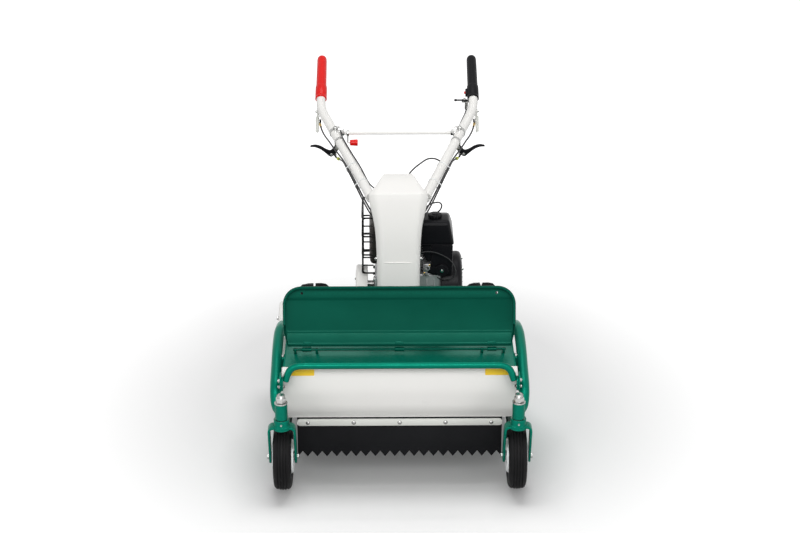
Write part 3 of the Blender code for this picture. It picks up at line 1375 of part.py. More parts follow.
def build():
    bent_sheet("deck_hood", hood_profile(), PLATE_INNER - GAP, DECK_SHEET, GREEN)
    front_panel()
    rubber_skirt()
    skirt_clamp_bar()
    rear_flap()
    guard()
    hinge_rod()
    bumper()
    rotor()
    drive()
    belt_covers()
    transmission()
    engine_bed()
    engine_block()
    fan_housing()
    fuel_tank()
    engine_front()
    muffler()
    muffler_guard()
    column_cover()
    column_frame()
    crossbar()
    shift_lever()
    throttle_lever()
    cables()
    for side, sign in SIDES.items():
        side_plate(side, sign)
        rotor_bearing(side, sign)
        side_pipe(side, sign)
        caster(side, sign)
        rear_wheel(side, sign)
        handle_tube(side, sign)
        grip(side, sign)
        side_lever(side, sign)
        hand_lever(side, sign)


build()
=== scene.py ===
import math

import bmesh
import bpy
from mathutils import Matrix, Vector


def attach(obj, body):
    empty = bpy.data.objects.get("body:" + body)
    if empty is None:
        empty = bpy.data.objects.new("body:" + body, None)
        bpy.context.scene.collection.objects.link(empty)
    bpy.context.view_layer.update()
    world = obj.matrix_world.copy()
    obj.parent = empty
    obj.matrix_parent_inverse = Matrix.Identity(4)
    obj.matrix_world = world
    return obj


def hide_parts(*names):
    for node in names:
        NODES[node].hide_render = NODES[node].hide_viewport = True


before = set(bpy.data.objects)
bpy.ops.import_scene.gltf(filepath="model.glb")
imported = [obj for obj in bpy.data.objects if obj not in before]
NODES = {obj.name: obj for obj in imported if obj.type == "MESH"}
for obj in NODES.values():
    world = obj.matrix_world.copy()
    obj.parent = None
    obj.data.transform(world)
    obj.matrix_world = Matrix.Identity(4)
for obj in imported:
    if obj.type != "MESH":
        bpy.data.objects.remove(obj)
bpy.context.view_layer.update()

SIDES = {"left": 1, "right": -1}
ACROSS, BACK, FRONT, UP = (1, 0, 0), (0, 1, 0), (0, -1, 0), (0, 0, 1)

# How far behind the caster axles the frame's origin is
MIDDLE = 0.633581159

CASTER_ACROSS, CASTER_TRAIL, CASTER_UP = 0.376, 0.035, 0.108067
WHEEL_ACROSS, WHEEL_BACK, WHEEL_UP = 0.3, 0.8, 0.163963
ROTOR, COUNTER, CRANK = (0.3, 0.17), (0.575, 0.29), (0.73, 0.375)
ROTOR_BELT, ENGINE_BELT = -0.3925, -0.124

# Where the fan housing meets the engine, across
FAN_FOOT = 0.1503
HINGE, GUARD_TILT = (0.172, 0.4053), 67.0
TUBE_FOOT, TUBE_BEND = Vector((0.092, 0.606, 0.757)), Vector((0.275, 1.129, 0.882))
TUBE_RADIUS = 0.0165
CROSSBAR_BACK, CROSSBAR_UP = 0.978, 0.84591
GRIP_SLOPE = math.radians(25.0)
GRIP_WAY = Vector((0.0, math.cos(GRIP_SLOPE), math.sin(GRIP_SLOPE)))


def at(across, back, up):
    return Vector((across, back - MIDDLE, up))


# Materials
def node(tree, kind, inputs=None, **settings):
    """Adds a node, sets its properties, and fills or links its inputs."""
    made = tree.nodes.new(kind)
    for key, value in settings.items():
        setattr(made, key, value)
    for key, value in (inputs or {}).items():
        if isinstance(value, bpy.types.NodeSocket):
            tree.links.new(value, made.inputs[key])
        else:
            made.inputs[key].default_value = value
    return made


def noise(tree, place, scale, detail=3.0, roughness=0.5, stretch=None):
    if stretch:
        place = node(tree, "ShaderNodeMapping", {"Vector": place, "Scale": stretch}).outputs[0]
    sizes = {"Vector": place, "Scale": scale, "Detail": detail, "Roughness": roughness}
    return node(tree, "ShaderNodeTexNoise", sizes).outputs["Fac"]


def combined(tree, operation, one, two):
    return node(tree, "ShaderNodeMath", {0: one, 1: two}, operation=operation).outputs[0]


def spread(tree, value, low, high, low_out, high_out):
    """Maps a value from one range to another, held at its ends."""
    sizes = {"Value": value, "From Min": low, "From Max": high, "To Min": low_out, "To Max": high_out}
    return node(tree, "ShaderNodeMapRange", sizes).outputs[0]


def blended(tree, factor, one, two):
    made = node(tree, "ShaderNodeMix", data_type="RGBA")
    tree.links.new(factor, made.inputs["Factor"])
    for socket, value in ((made.inputs[6], one), (made.inputs[7], two)):
        if isinstance(value, bpy.types.NodeSocket):
            tree.links.new(value, socket)
        else:
            socket.default_value = (*value, 1.0)
    return made.outputs[2]


def shade(colour, factor):
    return tuple(min(1.0, c * factor) for c in colour)


def finish(name, colour, roughness, metallic=0.0, slot=None, tone=0.06, patches=5.0, grain=300.0,
        grain_depth=0.00004, rough_change=0.07, wear=None, stretch=None, sockets=None):
    """A surface with drifting tone, uneven gloss, fine grain, and if asked worn edges."""
    made = bpy.data.materials.new(name)
    made.use_nodes = True
    made["slot"] = slot or name
    tree = made.node_tree
    shader = tree.nodes["Principled BSDF"]
    place = node(tree, "ShaderNodeTexCoord").outputs["Object"]
    broad = noise(tree, place, patches, 4.0, 0.55)
    fine = noise(tree, place, grain, 2.0, 0.6, stretch)
    tint = blended(tree, spread(tree, broad, 0.3, 0.7, 0.0, 1.0), shade(colour, 1 - tone),
        shade(colour, 1 + tone))
    speck = spread(tree, noise(tree, place, grain * 0.35, 3.0, 0.7), 0.62, 0.75, 0.0, 0.35)
    tint = blended(tree, speck, tint, shade(colour, 1 - 2.2 * tone))
    gloss = spread(tree, noise(tree, place, patches * 3.1, 5.0, 0.6), 0.3, 0.7, roughness - rough_change,
        roughness + rough_change)
    if wear:
        edge = node(tree, "ShaderNodeNewGeometry").outputs["Pointiness"]
        worn = spread(tree, edge, 0.53, 0.6, 0.0, 0.55)
        rubbed = combined(tree, "MULTIPLY", worn, spread(tree, fine, 0.45, 0.6, 0.0, 1.0))
        tint = blended(tree, rubbed, tint, wear)
    tree.links.new(tint, shader.inputs["Base Color"])
    tree.links.new(gloss, shader.inputs["Roughness"])
    bump = node(tree, "ShaderNodeBump", {"Height": fine, "Strength": 1.0, "Distance": grain_depth})
    tree.links.new(bump.outputs[0], shader.inputs["Normal"])
    shader.inputs["Metallic"].default_value = metallic
    for key, value in (sockets or {}).items():
        shader.inputs[key].default_value = value
    return made


def coated(weight, specular, roughness=0.15):
    return {"Coat Weight": weight, "Coat Roughness": roughness, "Specular IOR Level": specular}


COAT, SATIN, DULL = coated(0.1, 0.15), coated(0.02, 0.05), {"Specular IOR Level": 0.1}
GREEN = finish("green_paint", (0.0, 0.16, 0.104), 0.34, 0.45, grain=260, grain_depth=0.00003, tone=0.04,
    wear=(0.01, 0.24, 0.17), sockets=SATIN)
# A darker copy of the green paint: painted shade for the raised guard and its hinge rod and feet, which sit
# in shade
SHADED_GREEN = finish("green_paint_painted_shade", (0.0, 0.064, 0.041), 0.36, 0.3, slot="green_paint", grain=260,
    grain_depth=0.00003, tone=0.04, wear=(0.0, 0.12, 0.08), sockets=SATIN)
WHITE = finish("white_paint", (0.84, 0.83, 0.805), 0.34, tone=0.012, grain=260, grain_depth=0.00003,
    wear=(0.76, 0.75, 0.72), sockets=COAT)
WHITE_PLASTIC = finish("white_plastic", (0.8, 0.82, 0.82), 0.42, tone=0.02, grain=500, grain_depth=0.00004)
GREY = finish("grey_paint", (0.68, 0.69, 0.65), 0.38, tone=0.03, wear=(0.8, 0.8, 0.78), sockets=COAT)
RUBBER = finish("rubber", (0.0085, 0.0088, 0.01), 0.66, tone=0.18, patches=7, grain=420, grain_depth=0.00012,
    sockets=DULL)
TYRE = finish("tyre", (0.0075, 0.0075, 0.008), 0.52, tone=0.15, patches=14, grain=520, grain_depth=0.0001,
    sockets=DULL)
ZINC = finish("zinc_plate", (0.44, 0.44, 0.43), 0.24, 1.0, tone=0.08, patches=18, grain=600,
    grain_depth=0.00003, rough_change=0.08)
RED = finish("red_plastic", (0.7, 0.01, 0.008), 0.24, tone=0.04, grain=650, grain_depth=0.00003,
    sockets=coated(0.1, 0.15, 0.08))
BLACK = finish("black_plastic", (0.007, 0.007, 0.0085), 0.36, tone=0.12, grain=620, grain_depth=0.00006,
    sockets=DULL)
BLACK_PAINT = finish("black_paint", (0.008, 0.008, 0.008), 0.44, tone=0.15, grain=380, grain_depth=0.00006,
    wear=(0.1, 0.1, 0.1), sockets=DULL)
STEEL = finish("steel", (0.36, 0.355, 0.35), 0.38, 1.0, tone=0.16, patches=9, grain=260, grain_depth=0.00006,
    stretch=(0.1, 1, 1), rough_change=0.12)
ALUMINIUM = finish("cast_aluminium", (0.46, 0.465, 0.47), 0.52, 0.9, tone=0.1, patches=9, grain=340,
    grain_depth=0.0002)
BRASS = finish("brass", (0.72, 0.52, 0.22), 0.3, 1.0, slot="zinc_plate", tone=0.08, grain=500)
YELLOW = finish("yellow_vinyl", (0.9, 0.6, 0.02), 0.45, slot="white_paint", tone=0.03, grain=500)
LIME = finish("lime_plastic", (0.55, 0.62, 0.05), 0.45, slot="white_plastic", tone=0.05, grain=500)
JACKET = finish("cable_jacket", (0.014, 0.014, 0.015), 0.46, slot="rubber", tone=0.15, grain=700,
    grain_depth=0.00005)
DARK_STEEL = finish("hot_steel", (0.055, 0.05, 0.046), 0.5, 0.7, slot="black_paint", tone=0.2, grain=300,
    grain_depth=0.0001)


# Shapes: each function returns a bmesh in the model's frame
def smooth_route(route, steps=8):
    """Points on a smooth curve through all the points of a route."""
    points = [Vector(p) for p in route]
    padded = [2 * points[0] - points[1], *points, 2 * points[-1] - points[-2]]
    found = []
    for before, start, end, after in zip(padded, padded[1:], padded[2:], padded[3:]):
        for n in range(steps):
            t = n / steps
            found.append(0.5 * (2 * start + (end - before) * t + (2 * before - 5 * start
                + 4 * end - after) * t**2 + (3 * start - before - 3 * end + after) * t**3))
    return [*found, points[-1]]


def circle(radius, sides):
    return [(radius * math.cos(2 * math.pi * n / sides), radius * math.sin(2 * math.pi * n / sides))
        for n in range(sides)]


def arc(centre, radius, start, end, steps):
    angles = [math.radians(start + (end - start) * n / steps) for n in range(steps + 1)]
    return [(centre[0] + radius * math.cos(a), centre[1] + radius * math.sin(a)) for a in angles]


def rounded(low, high, radius, steps=5):
    (a, b), (c, d) = low, high
    return (arc((c - radius, d - radius), radius, 0, 90, steps) + arc((a + radius, d - radius), radius, 90,
        180, steps) + arc((a + radius, b + radius), radius, 180, 270, steps) + arc((c - radius, b + radius),
        radius, 270, 360, steps))


def capsule(first, second, first_radius, second_radius, steps=20):
    """The outline round two circles and the straight lines that touch both."""
    gap = Vector(second) - Vector(first)
    turn = math.degrees(math.atan2(gap.y, gap.x))
    lean = math.degrees(math.acos((first_radius - second_radius) / gap.length))
    return (arc(second, second_radius, turn - lean, turn + lean, steps) + arc(first, first_radius,
        turn + lean, turn - lean + 360, steps))


def fillet(before, corner, after, radius, steps):
    back, on = before - corner, after - corner
    reach = min(radius, back.length * 0.45, on.length * 0.45)
    start, end = corner + back.normalized() * reach, corner + on.normalized() * reach
    parts = [n / steps for n in range(steps + 1)]
    return [start * (1 - t) ** 2 + corner * 2 * t * (1 - t) + end * t**2 for t in parts]


def rounded_corners(points, radius, steps=5):
    """An open line with a fillet at each inner corner."""
    points = [Vector(p) for p in points]
    found = [points[0]]
    for before, corner, after in zip(points, points[1:], points[2:]):
        found += fillet(before, corner, after, radius, steps)
    return [*found, points[-1]]


def eased(ring, radius, steps=4):
    """A closed outline with a fillet at each corner."""
    ring = [Vector(p) for p in ring]
    found = []
    for n, corner in enumerate(ring):
        found += fillet(ring[n - 1], corner, ring[(n + 1) % len(ring)], radius, steps)
    return found


def band(points, thickness):
    """The closed outline of a sheet whose middle line is an open line in a plane."""
    points = [Vector(p) for p in points]
    one, two = [], []
    for n, here in enumerate(points):
        way = (points[min(n + 1, len(points) - 1)] - points[max(n - 1, 0)]).normalized()
        side = Vector((-way.y, way.x)) * thickness / 2
        one.append(here + side)
        two.append(here - side)
    return one + two[::-1]


def path_frames(points, up=None):
    """Each point of a path with a steady pair of side directions."""
    points = [Vector(p) for p in points]
    last = len(points) - 1
    ways = [(points[min(n + 1, last)] - points[max(n - 1, 0)]).normalized() for n in range(last + 1)]
    side = Vector(up).cross(ways[0]).normalized() if up else ways[0].orthogonal().normalized()
    found = []
    for n, way in enumerate(ways):
        if n:
            side = ways[n - 1].rotation_difference(way) @ side
        side = (side - way * side.dot(way)).normalized()
        found.append((points[n], side, way.cross(side)))
    return found


def lofted(shape, rings):
    """Joins rings of vertices one after another, and closes both ends."""
    count = len(rings[0])
    for one, two in zip(rings, rings[1:]):
        for k in range(count):
            m = (k + 1) % count
            shape.faces.new((one[k], one[m], two[m], two[k]))
    shape.faces.new(rings[0])
    shape.faces.new(rings[-1])
    bmesh.ops.recalc_face_normals(shape, faces=shape.faces)
    return shape


def swept(points, section, sizes=None, up=None):
    """A section pulled along points, closed at both ends."""
    shape, rings = bmesh.new(), []
    for n, (place, side, other) in enumerate(path_frames(points, up)):
        size = sizes[n] if sizes else 1.0
        rings.append([shape.verts.new(place + (side * u + other * v) * size) for u, v in section])
    return lofted(shape, rings)


def bar(points, radius, sides=24):
    """A round bar or pipe along points, with softened ends."""
    points = [Vector(p) for p in points]
    soft, end_size = radius * 0.18, 0.84
    first, last = (points[1] - points[0]).normalized() * soft, (points[-1] - points[-2]).normalized() * soft
    route = [points[0], points[0] + first, *points[1:-1], points[-1] - last, points[-1]]
    return swept(route, circle(radius, sides), [end_size] + [1.0] * (len(route) - 2) + [end_size])


def wall(inner, outer, start, end):
    """The profile of a plain ring or, from radius 0, of a disc."""
    return [(inner, start), (outer, start), (outer, end), (inner, end)]


def other_half(half):
    """The rest of a profile that is the same on both sides of its middle."""
    return [(radius, -along) for radius, along in reversed(half)]


def bead_profile(radius, size, sides):
    """The profile of a round wire bent into a ring."""
    return [(radius + x, y) for x, y in circle(size, sides)]


def turned(profile, centre, axis, steps=48):
    """A profile of (radius, along) turned round an axis. It closes on the axis or as a ring."""
    axis = Vector(axis).normalized()
    side = axis.orthogonal().normalized()
    other = axis.cross(side)
    shape = bmesh.new()
    rings = []
    for radius, along in profile:
        middle = centre + axis * along
        if radius < 1e-6:
            rings.append([shape.verts.new(middle)])
        else:
            rings.append([shape.verts.new(middle + side * x + other * y) for x, y in circle(radius, steps)])
    pairs = list(zip(rings, rings[1:]))
    if profile[0][0] > 1e-6 and profile[-1][0] > 1e-6:
        pairs.append((rings[-1], rings[0]))
    for one, two in pairs:
        for k in range(steps):
            m = (k + 1) % steps
            if len(one) == 1:
                shape.faces.new((one[0], two[k], two[m]))
            elif len(two) == 1:
                shape.faces.new((one[k], one[m], two[0]))
            else:
                shape.faces.new((one[k], one[m], two[m], two[k]))
    bmesh.ops.recalc_face_normals(shape, faces=shape.faces)
    return shape


def lathe(profile, soft, rounds, centre, axis, steps=48):
    """A turned profile with its inner corners rounded."""
    return turned(rounded_corners(profile, soft, rounds), centre, axis, steps)


def side_on(across):
    """Puts an outline of (back, up) in the plane at a distance across."""
    return Matrix(((0, 0, 1, across), (1, 0, 0, -MIDDLE), (0, 1, 0, 0), (0, 0, 0, 1)))


def front_on(back):
    """Puts an outline of (across, up) in the plane at a distance back."""
    return Matrix(((1, 0, 0, 0), (0, 0, 1, back - MIDDLE), (0, 1, 0, 0), (0, 0, 0, 1)))


def lying(up):
    """Puts an outline of (across, back) in the level plane at a height."""
    return Matrix.Translation((0, -MIDDLE, up))


def placed(name, data):
    """A new object in the scene that holds the data."""
    item = bpy.data.objects.new(name, data)
    bpy.context.scene.collection.objects.link(item)
    return item


def from_object(item):
    """The evaluated shape of a scratch object, which is removed."""
    bpy.context.view_layer.update()
    mesh = bpy.data.meshes.new_from_object(item.evaluated_get(bpy.context.evaluated_depsgraph_get()))
    bpy.data.objects.remove(item)
    return mesh


def slab(outline, thickness, place, bevel=0.0008, holes=(), rounds=1):
    """A flat outline with its thickness and rounded rims, holes included."""
    curve = bpy.data.curves.new("outline", "CURVE")
    curve.dimensions, curve.fill_mode = "2D", "BOTH"
    curve.extrude, curve.bevel_depth, curve.bevel_resolution = thickness / 2 - bevel, bevel, rounds
    curve.offset = -bevel
    for ring in (outline, *holes):
        line = curve.splines.new("POLY")
        line.points.add(len(ring) - 1)
        for point, (x, y) in zip(line.points, ring):
            point.co = (x, y, 0, 1)
        line.use_cyclic_u = True
    shape = bmesh.new()
    shape.from_mesh(from_object(placed("outline", curve)))
    bmesh.ops.remove_doubles(shape, verts=shape.verts, dist=1e-6)
    bmesh.ops.transform(shape, matrix=place, verts=shape.verts)
    bmesh.ops.recalc_face_normals(shape, faces=shape.faces)
    return shape


def drilled(mesh, *cutters):
    """A mesh with the cutters' space taken away."""
    item, cutter = placed("drilled", mesh), placed("cutter", mesh_of(cutters))
    cut = item.modifiers.new("cut", "BOOLEAN")
    cut.operation, cut.object, cut.solver = "DIFFERENCE", cutter, "EXACT"
    mesh = from_object(item)
    bpy.data.objects.remove(cutter)
    return mesh


def hole(centre, radius, sides=20):
    return [(centre[0] + x, centre[1] + y) for x, y in circle(radius, sides)]


def bevelled(shape, width, segments=2):
    """A shape with its sharp edges rounded."""
    sharp = math.radians(30)
    edges = [e for e in shape.edges if len(e.link_faces) == 2 and e.calc_face_angle(0) > sharp]
    bmesh.ops.bevel(shape, geom=edges, offset=width, segments=segments, profile=0.5, affect="EDGES",
        clamp_overlap=True)
    return shape


def block(low, high, bevel=0.002, segments=2):
    low, high = at(*low), at(*high)
    shape = bmesh.new()
    bmesh.ops.create_cube(shape, size=1.0)
    size = [abs(b - a) for a, b in zip(low, high)]
    bmesh.ops.scale(shape, vec=size, verts=shape.verts)
    bmesh.ops.translate(shape, vec=(low + high) / 2, verts=shape.verts)
    return bevelled(shape, min(bevel, min(size) * 0.4), segments)


def weld_bead(centre, axis, radius, size=0.0022):
    """A ring of weld round a pipe."""
    return turned(bead_profile(radius, size, 8), centre, axis, 32)


def mesh_of(shapes):
    """One mesh of several shapes, which are used up."""
    mesh = bpy.data.meshes.new("joined")
    whole = bmesh.new()
    for shape in shapes:
        if isinstance(shape, bmesh.types.BMesh):
            part = bpy.data.meshes.new("part")
            shape.to_mesh(part)
            shape.free()
        else:
            part = shape
        whole.from_mesh(part)
        bpy.data.meshes.remove(part)
    whole.to_mesh(mesh)
    whole.free()
    return mesh


def piece(name, shapes, material, body="chassis", angle=36):
    """A finished piece that rides on a body, in the material's slot, and stands for its CAD node."""
    mesh = mesh_of(shapes)
    mesh.materials.append(material)
    mesh.shade_smooth()
    mesh.set_sharp_from_angle(angle=math.radians(angle))
    made = placed(name, mesh)
    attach(made, body)
    if name in NODES:
        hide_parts(name)
    return made


# What repeats: two node trees
def new_tree(name, sizes):
    """A geometry tree with a named input for each size, and its inputs and result."""
    tree = bpy.data.node_groups.new(name, "GeometryNodeTree")
    for label, kind in {"Geometry": "Geometry", **sizes}.items():
        tree.interface.new_socket(label, in_out="INPUT", socket_type=f"NodeSocket{kind}")
    tree.interface.new_socket("Geometry", in_out="OUTPUT", socket_type="NodeSocketGeometry")
    return tree, node(tree, "NodeGroupInput").outputs, node(tree, "NodeGroupOutput").inputs[0]


def set_on_points(tree, result, points, shape, turn, **more):
    """Ends a tree with real copies of a shape on points."""
    inputs = {"Points": points, "Instance": shape, "Rotation": turn, **more}
    copies = node(tree, "GeometryNodeInstanceOnPoints", inputs).outputs[0]
    tree.links.new(node(tree, "GeometryNodeRealizeInstances", {0: copies}).outputs[0], result)
    return tree


def repeat_tree():
    """Copies of one shape, each moved on by a step and turned on by an angle."""
    tree, sizes, result = new_tree("repeated_shape", {"Count": "Int", "Start": "Vector", "Step": "Vector",
        "First Turn": "Vector", "Turn": "Vector"})
    line = node(tree, "GeometryNodeMeshLine", {"Count": sizes["Count"], "Start Location": sizes["Start"],
        "Offset": sizes["Step"]}).outputs[0]
    index = node(tree, "GeometryNodeInputIndex").outputs[0]
    turn = node(tree, "ShaderNodeVectorMath", {0: sizes["Turn"], "Scale": index},
        operation="SCALE").outputs[0]
    turn = node(tree, "ShaderNodeVectorMath", {0: turn, 1: sizes["First Turn"]}).outputs[0]
    turn = node(tree, "FunctionNodeEulerToRotation", {0: turn}).outputs[0]
    return set_on_points(tree, result, line, sizes["Geometry"], turn)


# What a bolt head is made of: sides, the size that it follows, and in that size the bottom and top
# radius; then in head radii its depth and the height of its bottom
HEAD_PARTS = ((24, "Washer", 1.0, 1.0, 0.16, 0.0), (6, "Head", 1.0, 1.0, 0.62, 0.15),
    (6, "Head", 1.0, 0.86, 0.14, 0.77), (16, "Head", 0.5, 0.5, 0.3, 0.85))


def fastener_tree():
    """A hexagon bolt head on its washer, with a threaded end, at each point along its facing."""
    tree, sizes, result = new_tree("fasteners", {"Head": "Float", "Washer": "Float"})
    join = node(tree, "GeometryNodeJoinGeometry")
    for sides, base, bottom, top, depth, bottom_up in HEAD_PARTS:
        shape = node(tree, "GeometryNodeMeshCone", {"Vertices": sides,
            "Radius Bottom": combined(tree, "MULTIPLY", sizes[base], bottom),
            "Radius Top": combined(tree, "MULTIPLY", sizes[base], top),
            "Depth": combined(tree, "MULTIPLY", sizes["Head"], depth)}).outputs["Mesh"]
        lift = node(tree, "ShaderNodeCombineXYZ",
            {"Z": combined(tree, "MULTIPLY", sizes["Head"], bottom_up)}).outputs[0]
        tree.links.new(node(tree, "GeometryNodeTransform",
            {"Geometry": shape, "Translation": lift}).outputs[0], join.inputs[0])
    facing, scale = (node(tree, "GeometryNodeInputNamedAttribute", {"Name": name}, data_type=kind).outputs[0]
        for name, kind in (("facing", "FLOAT_VECTOR"), ("scale", "FLOAT")))
    turn = node(tree, "FunctionNodeAlignRotationToVector", {"Vector": facing}, axis="Z").outputs[0]
    return set_on_points(tree, result, sizes["Geometry"], join.outputs[0], turn, Scale=scale)


REPEATED, FASTENERS = repeat_tree(), fastener_tree()


def grown(mesh, tree, values):
    """The mesh that a geometry tree makes of a base mesh, with the tree's named inputs."""
    item = placed("grown", mesh)
    modifier = item.modifiers.new("tree", "NODES")
    modifier.node_group = tree
    for socket in tree.interface.items_tree:
        if socket.in_out == "INPUT" and socket.name in values:
            modifier[socket.identifier] = values[socket.name]
    return from_object(item)


def repeated(shape, count, start=(0, 0, 0), step=(0, 0, 0), turn=(0, 0, 0), first_turn=(0, 0, 0)):
    values = {"Count": count, "Start": start, "Step": step, "Turn": turn, "First Turn": first_turn}
    return grown(mesh_of([shape]), REPEATED, values)


def bolts(places, head=0.0065, washer=0.0085):
    """Bolt heads at (place, facing) or (place, facing, scale)."""
    mesh = bpy.data.meshes.new("bolt_places")
    mesh.from_pydata([p[0] for p in places], [], [])
    facing = mesh.attributes.new("facing", "FLOAT_VECTOR", "POINT")
    facing.data.foreach_set("vector", [c for p in places for c in Vector(p[1]).normalized()])
    scale = mesh.attributes.new("scale", "FLOAT", "POINT")
    scale.data.foreach_set("value", [p[2] if len(p) > 2 else 1.0 for p in places])
    return grown(mesh, FASTENERS, {"Head": head, "Washer": washer})


# Camera, lights and floor
# The camera that was fitted to the photo: lens and sensor in millimetres, tilt and turn in degrees
LENS, SENSOR = 83.9, 36.0
CAMERA_PLACE, CAMERA_TILT, CAMERA_TURN = (-0.045, -5.827, 3.203), 65, -0.5

# Each lamp's name, place, aim, size and power in watts. The first lights only the floor.
LAMPS = [("overhead_floor", (0.0, 0.5, 3.6), (0.0, 0.0, 0.2), (2.2, 1.4), 80), ("overhead", (0.0, 0.5, 3.6),
    (0.0, 0.0, 0.2), (2.2, 1.4), 26), ("front", (0.0, -4.3, 3.8), (0.0, 0.0, 0.6), (3.6, 1.6), 158),
    ("fill_left", (3.4, -3.6, 2.0), (0.0, 0.0, 0.5), (1.6, 2.2), 28), ("fill_right", (-3.4, -3.6, 2.0),
    (0.0, 0.0, 0.5), (1.6, 2.2), 28)]
WORLD_LIGHT, FLOOR_GREY, FLOOR_REACH = 0.36, 0.8, 30

# The floor glows from its near to its far distance, so that it ends white
GLOW_NEAR, GLOW_FAR, GLOW_LOW, GLOW_HIGH = 0.65, 1.9, 0.1, 0.85


def camera():
    lens = bpy.data.cameras.new("view")
    lens.lens, lens.sensor_width = LENS, SENSOR
    item = placed("view", lens)
    item.location = CAMERA_PLACE
    item.rotation_euler = (math.radians(CAMERA_TILT), 0, math.radians(CAMERA_TURN))
    bpy.context.scene.camera = item


def lamp(name, place, aim, size, power):
    """An area light, which is returned."""
    light = bpy.data.lights.new(name, "AREA")
    light.shape, light.size, light.size_y, light.energy = "RECTANGLE", *size, power
    item = placed(name, light)
    item.location = place
    item.rotation_euler = (Vector(aim) - Vector(place)).to_track_quat("-Z", "Y").to_euler()
    return item


def seen_or_mirrored(tree):
    """1 for rays from the camera, from gloss and through glass."""
    path = node(tree, "ShaderNodeLightPath").outputs
    both = combined(tree, "MAXIMUM", path["Is Camera Ray"], path["Is Glossy Ray"])
    return combined(tree, "MAXIMUM", both, path["Is Transmission Ray"])


def floor_paint():
    """A matt floor that glows towards its edge."""
    paint = bpy.data.materials.new("floor")
    paint.use_nodes = True
    tree = paint.node_tree
    tree.nodes.remove(tree.nodes["Principled BSDF"])
    matt = node(tree, "ShaderNodeBsdfDiffuse",
        {"Color": (FLOOR_GREY, FLOOR_GREY, FLOOR_GREY, 1.0)}).outputs[0]
    place = node(tree, "ShaderNodeTexCoord").outputs["Object"]
    distance = node(tree, "ShaderNodeVectorMath", {0: place}, operation="LENGTH").outputs["Value"]
    lift = combined(tree, "MULTIPLY", seen_or_mirrored(tree), spread(tree, distance, GLOW_NEAR, GLOW_FAR,
        GLOW_LOW, GLOW_HIGH))
    glow = node(tree, "ShaderNodeEmission", {"Strength": lift}).outputs[0]
    both = node(tree, "ShaderNodeAddShader", {0: matt, 1: glow}).outputs[0]
    tree.links.new(both, tree.nodes["Material Output"].inputs["Surface"])
    return paint


def studio():
    scene = bpy.context.scene
    scene.view_settings.view_transform = "Standard"
    world = bpy.data.worlds.new("studio")
    scene.world = world
    world.use_nodes = True
    tree = world.node_tree
    back = tree.nodes["Background"]
    back.inputs["Color"].default_value = (1.0, 1.0, 1.0, 1.0)
    tree.links.new(spread(tree, seen_or_mirrored(tree), 0.0, 1.0, WORLD_LIGHT, 1.0), back.inputs["Strength"])
    lamps = [lamp(*row) for row in LAMPS]
    mesh = bpy.data.meshes.new("floor")
    mesh.from_pydata([(x * FLOOR_REACH, y * FLOOR_REACH, 0) for x, y in ((-1, -1), (1, -1), (1, 1), (-1, 1))],
        [], [(0, 1, 2, 3)])
    mesh.materials.append(floor_paint())
    floor = placed("floor", mesh)
    # One lamp lights only the floor, and the others light only the mower.
    for state, linked in (("INCLUDE", lamps[:1]), ("EXCLUDE", lamps[1:])):
        reached = bpy.data.collections.new(f"floor_{state.lower()}")
        reached.objects.link(floor)
        reached.collection_objects[0].light_linking.link_state = state
        for light in linked:
            light.light_linking.receiver_collection = reached


def route_line(route, sign=1):
    """A smooth line along (across, back, up) places, on one side of the mower."""
    return smooth_route([at(sign * x, y, z) for x, y, z in route])


def cable(name, path, radius=0.003):
    """A cable of a given thickness along a line."""
    made = piece(name, [swept(path, circle(radius, 14))], JACKET, angle=60)


CLUTCH_ROUTE = [(0.279, 1.128, 0.826), (0.27, 1.08, 0.8175), (0.258, 1.03, 0.815), (0.243, 0.98, 0.815),
    (0.229, 0.932, 0.814), (0.21, 0.88, 0.809), (0.1905, 0.83, 0.803), (0.174, 0.782, 0.794),
    (0.158, 0.735, 0.784), (0.1405, 0.684, 0.77), (0.119, 0.634, 0.746), (0.095, 0.606, 0.712),
    (0.07, 0.6, 0.676), (0.056, 0.6, 0.62), (0.05, 0.602, 0.5), (0.048, 0.604, 0.38), (0.048, 0.608, 0.2515)]
SIDE_ROUTE = [(0.2225, 0.9535, 0.7795), (0.218, 0.932, 0.7745), (0.211, 0.905, 0.779), (0.201, 0.868, 0.789),
    (0.189, 0.83, 0.7945), (0.1748, 0.782, 0.7865), (0.16, 0.735, 0.7768), (0.1435, 0.684, 0.7628),
    (0.1228, 0.634, 0.7388), (0.0995, 0.603, 0.7055), (0.0762, 0.5965, 0.6715), (0.0628, 0.599, 0.62),
    (0.0568, 0.602, 0.5), (0.0548, 0.604, 0.38), (0.0548, 0.608, 0.2515)]
THROTTLE_ROUTE = [(0.2505, 1.16, 0.866), (0.243, 1.132, 0.857), (0.232, 1.095, 0.85), (0.218, 1.04, 0.842),
    (0.202, 0.985, 0.831), (0.189, 0.943, 0.824), (0.17, 0.88, 0.806), (0.15, 0.815, 0.788),
    (0.13, 0.755, 0.768), (0.112, 0.7, 0.7465), (0.085, 0.664, 0.742), (0.056, 0.64, 0.742),
    (0.0305, 0.612, 0.738)]
SHIFT_ROUTE = [(-0.201, 0.962, 0.8618), (-0.191, 0.9133, 0.851), (-0.1625, 0.8375, 0.8298),
    (-0.13, 0.761, 0.8059), (-0.0995, 0.685, 0.7765), (-0.076, 0.655, 0.765), (-0.058, 0.64, 0.75),
    (-0.0305, 0.614, 0.738)]
HOSE_ROUTE = [(0.03, 0.64, 0.793), (0.0335, 0.668, 0.808), (0.05, 0.702, 0.8175), (0.075, 0.742, 0.823),
    (0.101, 0.78, 0.825), (0.124, 0.803, 0.818), (0.1415, 0.814, 0.807), (0.1545, 0.8165, 0.7945)]
